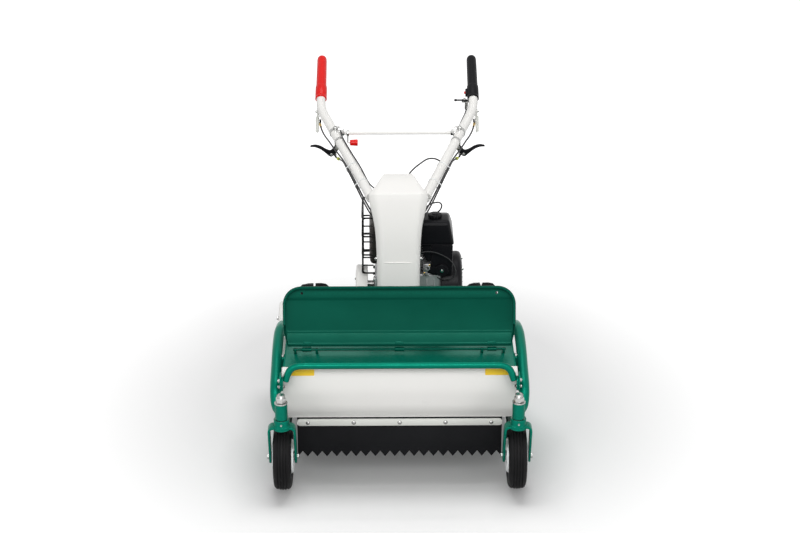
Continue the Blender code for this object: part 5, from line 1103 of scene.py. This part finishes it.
def fan_housing():
    crank = at(FAN_FOOT, *CRANK)
    profile = [(0.0, 0.066), (0.02, 0.066), (0.0225, 0.072), (0.095, 0.072), (0.0985, 0.0713),
        (0.108, 0.0672), (0.1125, 0.063), (0.1146, 0.0575), (0.115, 0.054), (0.115, 0.0), (0.0, 0.0)]
    housing = turned(profile, crank, ACROSS, 80)
    spoke = block((FAN_FOOT + 0.0655, MIDDLE - 0.0011, 0.012), (FAN_FOOT + 0.0712, MIDDLE + 0.0011, 0.021),
        0.0006)
    spokes = repeated(spoke, 20, at(0, *CRANK), turn=(math.pi / 10, 0, 0))
    slot = block((FAN_FOOT + 0.07, MIDDLE - 0.0018, 0.058), (FAN_FOOT + 0.0736, MIDDLE + 0.0018, 0.081),
        0.001)
    slots = repeated(slot, 30, at(0, *CRANK), turn=(math.pi / 15, 0, 0))
    rib = block((FAN_FOOT + 0.004, MIDDLE - 0.002, 0.112), (FAN_FOOT + 0.032, MIDDLE + 0.002, 0.1168), 0.001)
    ribs = repeated(rib, 12, at(0, *CRANK), turn=(math.pi / 6, 0, 0), first_turn=(0.2, 0, 0))
    cap = lathe([(0.0, 0.07), (0.013, 0.07), (0.014, 0.066), (0.0, 0.066)], 0.0012, 2, crank, ACROSS, 32)
    port = turned([(0.0068, 0.068), (0.0115, 0.069), (0.0125, 0.0725), (0.0105, 0.0748), (0.0068, 0.0743)],
        at(FAN_FOOT, 0.7, 0.352), ACROSS, 32)
    piece("fan_housing", [housing, spokes, slots, ribs, cap, port], BLACK, angle=32)
    around = [(at(FAN_FOOT + 0.0722, CRANK[0] + 0.089 * math.cos(a), CRANK[1] + 0.089 * math.sin(a)), ACROSS)
        for a in (math.pi * n / 3 for n in range(6))]
    around.append((at(FAN_FOOT + 0.03, CRANK[0] - 0.1145, CRANK[1] + 0.022), (0.0, -1, 0.2), 0.8))
    piece("housing_bolts", [bolts(around, 0.005, 0.0068)], ZINC)
    stem = bar([at(0.1975, 0.7, 0.352), at(0.226, 0.7, 0.352)], 0.006)
    handle = slab(rounded((0.68, 0.3435), (0.72, 0.3605), 0.0084, 8), 0.0138, side_on(0.2318), 0.004,
        rounds=4)
    piece("recoil_grip", [stem, handle], BLACK, "starter_grip")


def tank():
    outline = [(0.62, 0.572), (0.8, 0.572), (0.81, 0.592), (0.73, 0.648), (0.69, 0.66), (0.632, 0.66),
        (0.62, 0.65)]
    body = slab(eased(outline, 0.013, 5), 0.202, side_on(0.089), 0.0105, rounds=4)
    for vertex in body.verts:
        lift = min(1.0, max(0.0, (vertex.co.z - 0.578) / 0.08))
        if vertex.co.x > 0.05:
            vertex.co.x -= 0.015 * lift
    seam = slab(rounded((-0.0125, 0.6185), (0.1905, 0.8015), 0.014, 6), 0.0036, lying(0.5742), 0.0009)
    front_line = bar([at(0.006, 0.6212, 0.6455), at(0.16, 0.6212, 0.6455)], 0.002, 12)
    neck = lathe([(0.0, 0.0048), (0.0165, 0.0048), (0.018, 0.0), (0.018, -0.012), (0.0, -0.012)], 0.0008, 2,
        at(0.126, 0.66, 0.6553), UP, 40)
    piece("fuel_tank", [body, seam, front_line, neck], BLACK, angle=30)
    place = at(0.126, 0.66, 0.6605)
    cap = lathe([(0.0, 0.0142), (0.0105, 0.0142), (0.012, 0.0118), (0.0205, 0.0118), (0.022, 0.009),
        (0.022, 0.0), (0.0, 0.0)], 0.0016, 3, place, UP, 48)
    lobe = lathe([(0.0, 0.0112), (0.003, 0.0108), (0.0034, 0.001), (0.0, 0.0008)], 0.0008, 2,
        Vector((0.0204, 0, 0)), UP, 12)
    lobes = repeated(lobe, 14, place, turn=(0, 0, math.pi / 7))
    piece("fuel_cap", [cap, lobes], BLACK, "tank_cap")
    shroud = slab(eased([(0.112, 0.4555), (0.187, 0.4555), (0.187, 0.5717), (0.112, 0.5717)], 0.01, 5),
        0.0235, front_on(0.63575), 0.005, rounds=3)
    lip = bar([at(0.183, 0.6245, 0.462), at(0.185, 0.6245, 0.568)], 0.0022, 12)
    wing = slab(eased([(0.08, 0.5712), (0.1115, 0.5712), (0.1115, 0.503), (0.1, 0.506), (0.086, 0.532)],
        0.004, 4), 0.014, front_on(0.636), 0.002)
    piece("engine_shroud", [shroud, lip, wing], BLACK)
    body = block((0.086, 0.622, 0.46), (0.1113, 0.659, 0.5), 0.004, 3)
    bowl = lathe([(0.0, 0.0), (0.0105, 0.0), (0.012, 0.004), (0.012, 0.012), (0.0, 0.012)], 0.0015, 3,
        at(0.0985, 0.6305, 0.4557), UP, 32)
    throat = lathe([(0.006, 0.0), (0.0095, 0.0), (0.0105, 0.002), (0.0105, 0.008), (0.006, 0.008)], 0.0008, 2,
        at(0.0985, 0.6162, 0.486), BACK, 32)
    piece("carburettor", [body, bowl, throat], ALUMINIUM)
    piece("carburettor_screws", [bolts([(at(0.0895, 0.622, 0.4655), FRONT),
        (at(0.1075, 0.622, 0.4955), FRONT), (at(0.0985, 0.6305, 0.456), (0, 0, -1), 0.3)], 0.0026, 0.0034)],
        BRASS)
    link = slab(eased([(0.1, 0.466), (0.15, 0.466), (0.15, 0.49), (0.1, 0.49)], 0.005, 4), 0.006,
        front_on(0.62), 0.001)
    knob = lathe([(0.0, -0.001), (0.01, -0.001), (0.012, 0.0), (0.0205, 0.0), (0.022, 0.002), (0.022, 0.0095),
        (0.0, 0.0095)], 0.0012, 3, at(0.15, 0.614, 0.478), BACK, 48)
    notch = turned([(0.0, 0.0088), (0.0014, 0.0085), (0.0014, 0.001), (0.0, 0.0006)], Vector((0.0216, 0, 0)),
        BACK, 8)
    notches = repeated(notch, 24, at(0.15, 0.614, 0.478), turn=(0, math.pi / 12, 0))
    piece("choke_knob", [link, knob, notches], BLACK)
    piece("knob_screw", [bolts([(at(0.15, 0.6131, 0.478), FRONT)], 0.0042, 0.0062)], ZINC)


def muffler():
    body = block((-0.098, 0.68, 0.47), (-0.0265, 0.84, 0.625), 0.015, 5)
    seam = slab(rounded((0.678, 0.468), (0.842, 0.627), 0.016, 8), 0.003, side_on(-0.062), 0.001)
    rib = block((-0.1, 0.7, 0.492), (-0.094, 0.82, 0.5), 0.0028)
    ribs = repeated(rib, 5, step=(0, 0, 0.0255))
    foot = block((-0.07, 0.73, 0.4553), (-0.034, 0.79, 0.48), 0.003)
    spout = turned([(0.0075, 0.0), (0.0092, 0.0), (0.0092, 0.026), (0.0085, 0.027), (0.0075, 0.026)],
        at(-0.08, 0.838, 0.6), BACK, 32)
    piece("muffler", [body, seam, ribs, foot, spout], DARK_STEEL)
    outer, inner, front, rear = -0.124, -0.085, 0.662, 0.846
    low, high, wire, corner = 0.448, 0.655, 0.003, 0.012

    def loop(height):
        line = [(inner, front), (outer, front), (outer, rear), (inner, rear)]
        return [at(x, y, height) for x, y in rounded_corners(line, corner, 6)]
    bars = [bar(loop(up), wire, 12) for up in (low, low + 0.069, low + 0.138, high)]
    rung = bar([at(inner, front, 0), at(outer + 0.001, front, 0)], 0.0026, 10)
    rungs = repeated(rung, 6, (0, 0, low + 0.0296), (0, 0, 0.0296))
    frame_line = rounded_corners([(inner, low), (outer + 0.0012, low), (outer + 0.0012, high), (inner, high)],
        corner, 6)
    bars += [bar([at(x, back, z) for x, z in frame_line], wire, 12) for back in (front, rear)]
    bars += [bar([at(outer + 0.0012, back, low - 0.006), at(outer + 0.0012, back, high + 0.005)], wire, 12)
        for back in (front + 0.04, rear - 0.04)]
    lugs = [block((inner - 0.003, back - 0.005, low - 0.005), (-0.0803, back + 0.005, low + 0.002), 0.001)
        for back in (front, rear)]
    piece("muffler_guard", [*bars, rungs, *lugs], BLACK_PAINT)


# Column
COVER_ROWS = [(0.072, 0.06, 0.478, 0.405), (0.0735, 0.061, 0.506, 0.56), (0.08, 0.063, 0.525, 0.67),
    (0.098, 0.072, 0.545, 0.755), (0.1, 0.078, 0.556, 0.79), (0.076, 0.064, 0.61, 0.806),
    (0.054, 0.05, 0.66, 0.82)]


def column_cover():
    """A folded sheet: a tapering face, a bevel fold and a side wall on each side, and a sloped top."""
    folds = [(0.018, 0.0, 0.04, -0.004)] * 4 + [(0.014, -0.006, 0.026, -0.016)]
    folds += [(0.0, -0.006, 0.0, -0.016)] * 2
    lines = []
    for (side, face, back, up), (fold_back, fold_up, wall_back, wall_up) in zip(COVER_ROWS, folds):
        half = [(side, back + wall_back, up + wall_up), (side, back + fold_back, up + fold_up),
            (face, back, up)]
        row = [at(-x, y, z) for x, y, z in half] + [at(x, y, z) for x, y, z in reversed(half)]
        lines.append(rounded_corners(row, 0.01, 5))
    columns = []
    for n in range(len(lines[0])):
        points = [line[n] for line in lines]
        lower = smooth_route(points[:5], 6)
        edge = rounded_corners([lower[-2], points[4], points[5]], 0.006, 4)
        top = rounded_corners([edge[-2], points[5], points[6]], 0.01, 3)
        columns.append([*lower[:-2], *edge[:-1], *top[1:]])
    shape = bmesh.new()
    grid = [[shape.verts.new(p) for p in column] for column in columns]
    for one, two in zip(grid, grid[1:]):
        for k in range(len(one) - 1):
            shape.faces.new((one[k], one[k + 1], two[k + 1], two[k]))
    bmesh.ops.recalc_face_normals(shape, faces=shape.faces)
    middle = min(shape.faces, key=lambda f: (f.calc_center_median() - at(0, 0.5, 0.52)).length)
    if middle.normal.y > 0:
        bmesh.ops.reverse_faces(shape, faces=shape.faces)
    item = placed("sheet", mesh_of([shape]))
    thick = item.modifiers.new("thick", "SOLIDIFY")
    thick.thickness, thick.offset, thick.use_even_offset = 0.0025, -1.0, True
    rim = item.modifiers.new("rim", "BEVEL")
    rim.width, rim.segments, rim.limit_method, rim.angle_limit = 0.0007, 2, "ANGLE", math.radians(50)
    sheet = from_object(item)
    crease = swept([at(x, 0.5045, 0.5586) for x in (-0.047, -0.03, 0.0, 0.03, 0.047)], circle(0.0022, 12),
        [0.3, 1.0, 1.0, 1.0, 0.3])
    hem = bar([at(-0.059, 0.479, 0.4065), at(0.059, 0.479, 0.4065)], 0.0018, 10)
    piece("column_cover", [sheet, crease, hem], WHITE, angle=24)
    heads = []
    for sign in SIDES.values():
        heads += [(at(sign * 0.0978, 0.5795, 0.756), (sign, 0, 0.2)), (at(sign * 0.0735, 0.5375, 0.56),
            (sign, 0, 0)), (at(sign * 0.0722, 0.509, 0.42), (sign, 0, 0))]
    piece("cover_screws", [bolts(heads, 0.0062, 0.0088)], ZINC)


def column_frame():
    post = slab([(0.534, 0.2553), (0.582, 0.2553), (0.626, 0.766), (0.586, 0.766)], 0.06, side_on(0), 0.004,
        rounds=2)
    foot = slab(rounded((-0.062, 0.53), (0.062, 0.5985), 0.006, 4), 0.008, lying(0.2553), 0.001)
    head = bar([at(-0.0757, 0.612, 0.757), at(0.0757, 0.612, 0.757)], 0.016, 32)
    tie = bar([at(-0.0703, 0.538, 0.56), at(0.0703, 0.538, 0.56)], 0.007)
    stay = block((-0.016, 0.537, 0.556), (0.016, 0.575, 0.564), 0.001)
    gussets = [slab([(sign * 0.0295, 0.2585), (sign * 0.058, 0.2585), (sign * 0.0295, 0.3)], 0.004,
        front_on(0.556), 0.0006) for sign in SIDES.values()]
    beads = [weld_bead(at(x, 0.612, 0.757), ACROSS, 0.0158) for x in (-0.031, 0.031)]
    piece("column_frame", [post, foot, head, tie, stay, *gussets, *beads], WHITE)


# Handle
def tube_point(sign, part):
    place = TUBE_FOOT.lerp(TUBE_BEND, part)
    return at(sign * place.x, place.y, place.z)


def tube_way(sign):
    return tube_point(sign, 1.0) - tube_point(sign, 0.0)


def tube_line(sign):
    way = (TUBE_BEND - TUBE_FOOT).normalized()
    start, end = TUBE_BEND - way * 0.045, TUBE_BEND + GRIP_WAY * 0.045
    curve = []
    for n in range(11):
        t = n / 10
        curve.append(start * (1 - t) ** 2 + TUBE_BEND * 2 * t * (1 - t) + end * t**2)
    line = [TUBE_FOOT, *curve, TUBE_BEND + GRIP_WAY * 0.245]
    return [at(sign * p.x, p.y, p.z) for p in line]


def handle(side, sign):
    tube = bar(tube_line(sign), TUBE_RADIUS, 36)
    along_tube = tube_way(sign)
    collar = lathe([(0.015, 0.0), (0.0185, 0.0), (0.0185, 0.014), (0.0165, 0.016)], 0.001, 2,
        tube_point(sign, 0.0), along_tube, 40)
    piece(f"handle_tube_{side}", [tube, collar], WHITE)
    across, bar_middle = (sign, 0, 0), at(0, CROSSBAR_BACK, CROSSBAR_UP)
    boss = lathe(wall(0.0063, 0.0115, 0.1962, 0.2222), 0.001, 2, bar_middle, across, 40)
    nut = lathe(wall(0.0064, 0.0098, 0.1877, 0.196), 0.0008, 2, bar_middle, across, 6)
    bracket = slab(rounded((sign * 0.212 - 0.011, 0.796), (sign * 0.212 + 0.011, 0.836), 0.004, 4), 0.0057,
        front_on(0.95215), 0.001)
    finger = slab(eased([(sign * 0.205, 0.8), (sign * 0.2185, 0.8), (sign * 0.229, 0.779),
        (sign * 0.2215, 0.7725)], 0.003, 4), 0.0036, front_on(0.9532), 0.0007)
    pin = bar([at(sign * 0.212, 0.937, 0.806), at(sign * 0.212, 0.953, 0.806)], 0.004, 20)
    ear = slab(rounded((1.138, 0.853), (1.162, 0.898), 0.005, 5), 0.004, side_on(sign * 0.2812), 0.0008)
    stay = slab(eased([(1.122, 0.83), (1.134, 0.8265), (1.15, 0.856), (1.139, 0.864)], 0.003, 4), 0.003,
        side_on(sign * 0.2812), 0.0006)
    hand_pin = bar([at(sign * 0.279, 1.15, 0.864), at(sign * 0.2905, 1.15, 0.864)], 0.0035, 20)
    clamps = [clamp_band(tube_point(sign, part), along_tube, width)
        for part, width in ((0.715, 0.012), (0.61, 0.01))]
    piece(f"handle_fittings_{side}", [boss, nut, bracket, finger, pin, ear, stay, hand_pin, *clamps], ZINC,
        angle=30)
    heads = [(at(sign * 0.212, 0.9407, 0.806), FRONT), (at(sign * 0.2898, 1.15, 0.864), across, 0.9),
        (at(sign * 0.212, 0.949, 0.829), FRONT, 0.8), (at(sign * 0.2225, 0.9512, 0.779), FRONT, 0.7)]
    top = tube_point(sign, 0.715)
    heads.append((top + Vector((-sign * 0.004, -0.004, TUBE_RADIUS + 0.002)), (0, -0.2, 1), 1.2))
    piece(f"handle_bolts_{side}", [bolts(heads, 0.0062, 0.0082)], ZINC)
    eye = turned(bead_profile(0.0135, 0.003, 12), at(sign * 0.205, 0.957, 0.863), (0.15 * sign, -1, 0.35), 36)
    shank = bar([at(sign * 0.205, 0.961, 0.8495), at(sign * 0.209, 0.965, 0.836)], 0.004, 14)
    piece(f"ring_bolt_{side}", [eye, shank], ZINC)


def grip(side, sign):
    base = TUBE_BEND + GRIP_WAY * 0.048
    place, axis = at(sign * base.x, base.y, base.z), Vector((0, *GRIP_WAY.yz))
    length, bore = 0.221, TUBE_RADIUS + 0.0003
    profile = [(0.0, length), (0.006, length - 0.0006), (0.0105, length - 0.0025), (0.014, length - 0.0058),
        (0.0163, length - 0.01), (0.0174, length - 0.015), (0.0179, length - 0.022), (0.0183, 0.15),
        (0.0188, 0.072), (0.0189, 0.068), (0.0182, 0.0668), (0.0182, 0.0655), (0.02, 0.064), (0.0208, 0.0615),
        (0.0212, 0.057), (0.0212, 0.012), (0.0206, 0.0108), (0.0206, 0.0092), (0.0212, 0.008),
        (0.0212, 0.0015), (0.0205, 0.0), (bore, 0.0), (bore, 0.199), (0.0, 0.199)]
    top = axis.cross(Vector(ACROSS)) * 0.021
    mark = swept([place + axis * (0.022 + 0.001 * abs(n)) + Vector((0.0018 * n, 0, 0)) + top
        for n in range(-4, 5)], circle(0.0008, 8))
    piece(f"grip_{side}", [turned(profile, place, axis, 64), mark], BLACK if side == "left" else RED,
        angle=30)


def levers(side, sign):
    outline = [(0.2015, 0.806), (0.2045, 0.815), (0.213, 0.8175), (0.223, 0.81), (0.236, 0.793),
        (0.252, 0.799), (0.272, 0.812), (0.29, 0.8165), (0.307, 0.813), (0.3085, 0.807), (0.292, 0.807),
        (0.274, 0.8), (0.256, 0.786), (0.24, 0.771), (0.231, 0.77), (0.211, 0.794)]
    lever = slab(eased([(sign * x, z) for x, z in outline], 0.008, 4), 0.008, front_on(0.945), 0.0022,
        [hole((sign * 0.212, 0.806), 0.0043, 20)], rounds=3)
    hub = turned([(0.0043, -0.0046), (0.0074, -0.0046), (0.008, -0.0038), (0.008, 0.0), (0.0043, 0.0)],
        at(sign * 0.212, 0.945, 0.806), BACK, 28)
    strip = swept([at(sign * x, 0.9403, z) for x, z in ((0.24, 0.78), (0.256, 0.7925), (0.274, 0.805),
        (0.29, 0.8105), (0.303, 0.8098))], circle(0.0018, 8), [0.4, 1, 1, 1, 0.4])
    piece(f"side_clutch_lever_{side}", [lever, hub, strip], BLACK, f"side_lever_{side}", 30)
    rivets = bolts([(at(sign * 0.2335, 0.9409, 0.7795), FRONT, 0.8)], 0.005, 0.0064)
    piece(f"side_lever_rivet_{side}", [rivets], ZINC, f"side_lever_{side}")

    outline = [(1.088, 0.812), (1.094, 0.806), (1.126, 0.838), (1.146, 0.854), (1.164, 0.858), (1.215, 0.868),
        (1.33, 0.922), (1.334, 0.928), (1.326, 0.932), (1.212, 0.879), (1.16, 0.873), (1.142, 0.87),
        (1.118, 0.848)]
    lever = slab(eased(outline, 0.01, 4), 0.006, side_on(sign * 0.2865), 0.0018,
        [hole((1.15, 0.864), 0.0037, 20)], rounds=2)
    tip = turned(bead_profile(0.004, 0.002, 10), at(sign * 0.2865, 1.0905, 0.8085), (sign, 0, 0), 24)
    flat = rounded((-0.0013, -0.0062), (0.0013, 0.0062), 0.001, 2)
    blade = swept([at(sign * 0.288, y, z) for y, z in ((1.0895, 0.808), (1.106, 0.8245), (1.123, 0.8415),
        (1.134, 0.851))], flat, up=ACROSS)
    piece(f"hand_lever_{side}", [lever, tip, blade], GREY, f"squeeze_lever_{side}", 30)


def clamp_band(centre, axis, width):
    """A clamp band round a handle tube."""
    return lathe(wall(TUBE_RADIUS, TUBE_RADIUS + 0.0016, -width / 2, width / 2), 0.0003, 2, centre, axis, 40)


def between_handles():
    back, up = CROSSBAR_BACK, CROSSBAR_UP
    piece("crossbar", [bar([at(-0.2073, back, up), at(0.2073, back, up)], 0.006, 24)], WHITE)
    middle, elbow = -0.1755, (back - 0.026, up - 0.026)
    hub = lathe(wall(0.0062, 0.0115, -0.0045, 0.0045), 0.0009, 2, at(middle, back, up), ACROSS, 36)
    line = [at(middle, back - 0.0075, up - 0.0075), at(middle, *elbow), at(middle + 0.0125, *elbow)]
    stem = bar(rounded_corners(line, 0.007, 6), 0.003, 16)
    piece("shift_lever", [hub, stem], ZINC, "shifter")
    knob = lathe([(0.0, 0.0075), (0.0095, 0.0075), (0.0105, 0.01), (0.0105, 0.012), (0.012, 0.0335),
        (0.0105, 0.0355), (0.0, 0.0355)], 0.0016, 4, at(middle, *elbow), ACROSS, 36)
    piece("shift_knob", [knob], RED, "shifter")


def throttle_and_switch():
    pivot = (0.243, 1.16)
    plate = slab(rounded((0.233, 1.148), (0.268, 1.172), 0.004, 4), 0.003, lying(0.898), 0.0006)
    leg = block((0.262, 1.15, 0.8855), (0.268, 1.17, 0.899), 0.0012)
    hanger = slab(rounded((0.244, 0.866), (0.256, 0.897), 0.003, 3), 0.003, front_on(1.16), 0.0005)
    piece("throttle_bracket", [plate, leg, hanger], ZINC)
    disc = lathe(wall(0.0035, 0.009, 0.0, 0.005), 0.0008, 2, at(*pivot, 0.8998), UP, 36)
    arm = slab(capsule((0.2105, 1.16), (0.241, 1.16), 0.004, 0.0052, 10), 0.0036, lying(0.9023), 0.0009,
        rounds=2)
    tab = lathe([(0.0, -0.0032), (0.0052, -0.0032), (0.006, 0.0), (0.0052, 0.0032), (0.0, 0.0032)], 0.001, 2,
        at(0.2115, 1.16, 0.9023), UP, 24)
    piece("throttle_lever", [disc, arm, tab], BLACK, "throttle")
    piece("throttle_screw", [bolts([(at(*pivot, 0.905), UP)], 0.0046, 0.006)], ZINC)
    switch = slab(rounded((-0.009, -0.014), (0.009, 0.014), 0.003, 4), 0.009,
        Matrix.Translation(at(0.252, 1.201, 0.916)) @ Matrix.Rotation(GRIP_SLOPE, 4, "X")
        @ Matrix.Rotation(math.radians(90), 4, "Y"), 0.0016, rounds=2)
    piece("switch_box", [switch], BLACK)
    rocker = lathe([(0.0, 0.0072), (0.0042, 0.0072), (0.005, 0.005), (0.005, 0.0), (0.0, 0.0)], 0.001, 3,
        at(0.25, 1.201, 0.916), (-1, 0, 0), 24)
    piece("switch_button", [rocker], RED)


def along(path, distance):
    """The place and direction at a distance along a path."""
    for one, two in zip(path, path[1:]):
        step = (two - one).length
        if distance <= step:
            return one.lerp(two, distance / step), (two - one).normalized()
        distance -= step
    return path[-1], (path[-1] - path[-2]).normalized()


def sleeve_on(path, distance, profile, steps=24):
    """A turned sleeve on a cable, at a distance along its line."""
    return turned(profile, *along(path, distance), steps)


def tie_round(sign, part, path):
    """A narrow tie round a handle tube and the cable under it."""
    centre = tube_point(sign, part)
    way = tube_way(sign).normalized()
    near = min(path, key=lambda p: abs((p - centre).dot(way)))
    out = near - centre
    out -= way * out.dot(way)
    gap, side = out.length, out.normalized()
    place = Matrix((side, way.cross(side), way)).transposed().to_4x4()
    place.translation = centre
    outer, inner = (capsule((0, 0), (gap, 0), 0.0186 - inset, 0.01 - inset, 14) for inset in (0.0, 0.0012))
    return slab(outer, 0.0042, place, 0.0004, [inner])


def cable_fittings(side, sign):
    """A ferrule, a clip and two ties on the clutch cable, and the side cable's adjuster."""
    path, side_path = route_line(CLUTCH_ROUTE, sign), route_line(SIDE_ROUTE, sign)
    ferrule = sleeve_on(path, 0.001, [(0.0031, 0.0), (0.0044, 0.0), (0.0046, 0.0008), (0.0046, 0.0105),
        (0.0038, 0.0125), (0.0038, 0.023), (0.0031, 0.023)])
    piece(f"cable_ferrule_{side}", [ferrule], BRASS)
    clip = block((sign * 0.274, 1.1245, 0.829), (sign * 0.2811, 1.136, 0.84), 0.0015)
    piece(f"cable_clip_{side}", [clip], BLACK)
    thread = sleeve_on(side_path, 0.0, wall(0.0026, 0.004, 0.0, 0.022))
    nut = sleeve_on(side_path, 0.005, wall(0.003, 0.0062, 0.0, 0.005), 6)
    piece(f"adjuster_thread_{side}", [thread, nut], ZINC)
    barrel = sleeve_on(side_path, 0.056, [(0.003, 0.0), (0.005, 0.0), (0.0058, 0.0016), (0.0058, 0.015),
        (0.0048, 0.018), (0.003, 0.018)], 16)
    piece(f"adjuster_barrel_{side}", [barrel], LIME)
    piece(f"cable_ties_{side}", [tie_round(sign, part, path) for part in (0.15, 0.33)], WHITE_PLASTIC)


camera()
studio()
cables()
for side, sign in SIDES.items():
    for build in (casters, side_pipes, rear_wheels, handle, grip, levers, cable_fittings):
        build(side, sign)
for build in (bumper, front_panel, skirt, guard, deck, rotor, drive, transmission, bed, engine, fan_housing,
        tank, muffler, column_cover, column_frame, between_handles, throttle_and_switch):
    build()
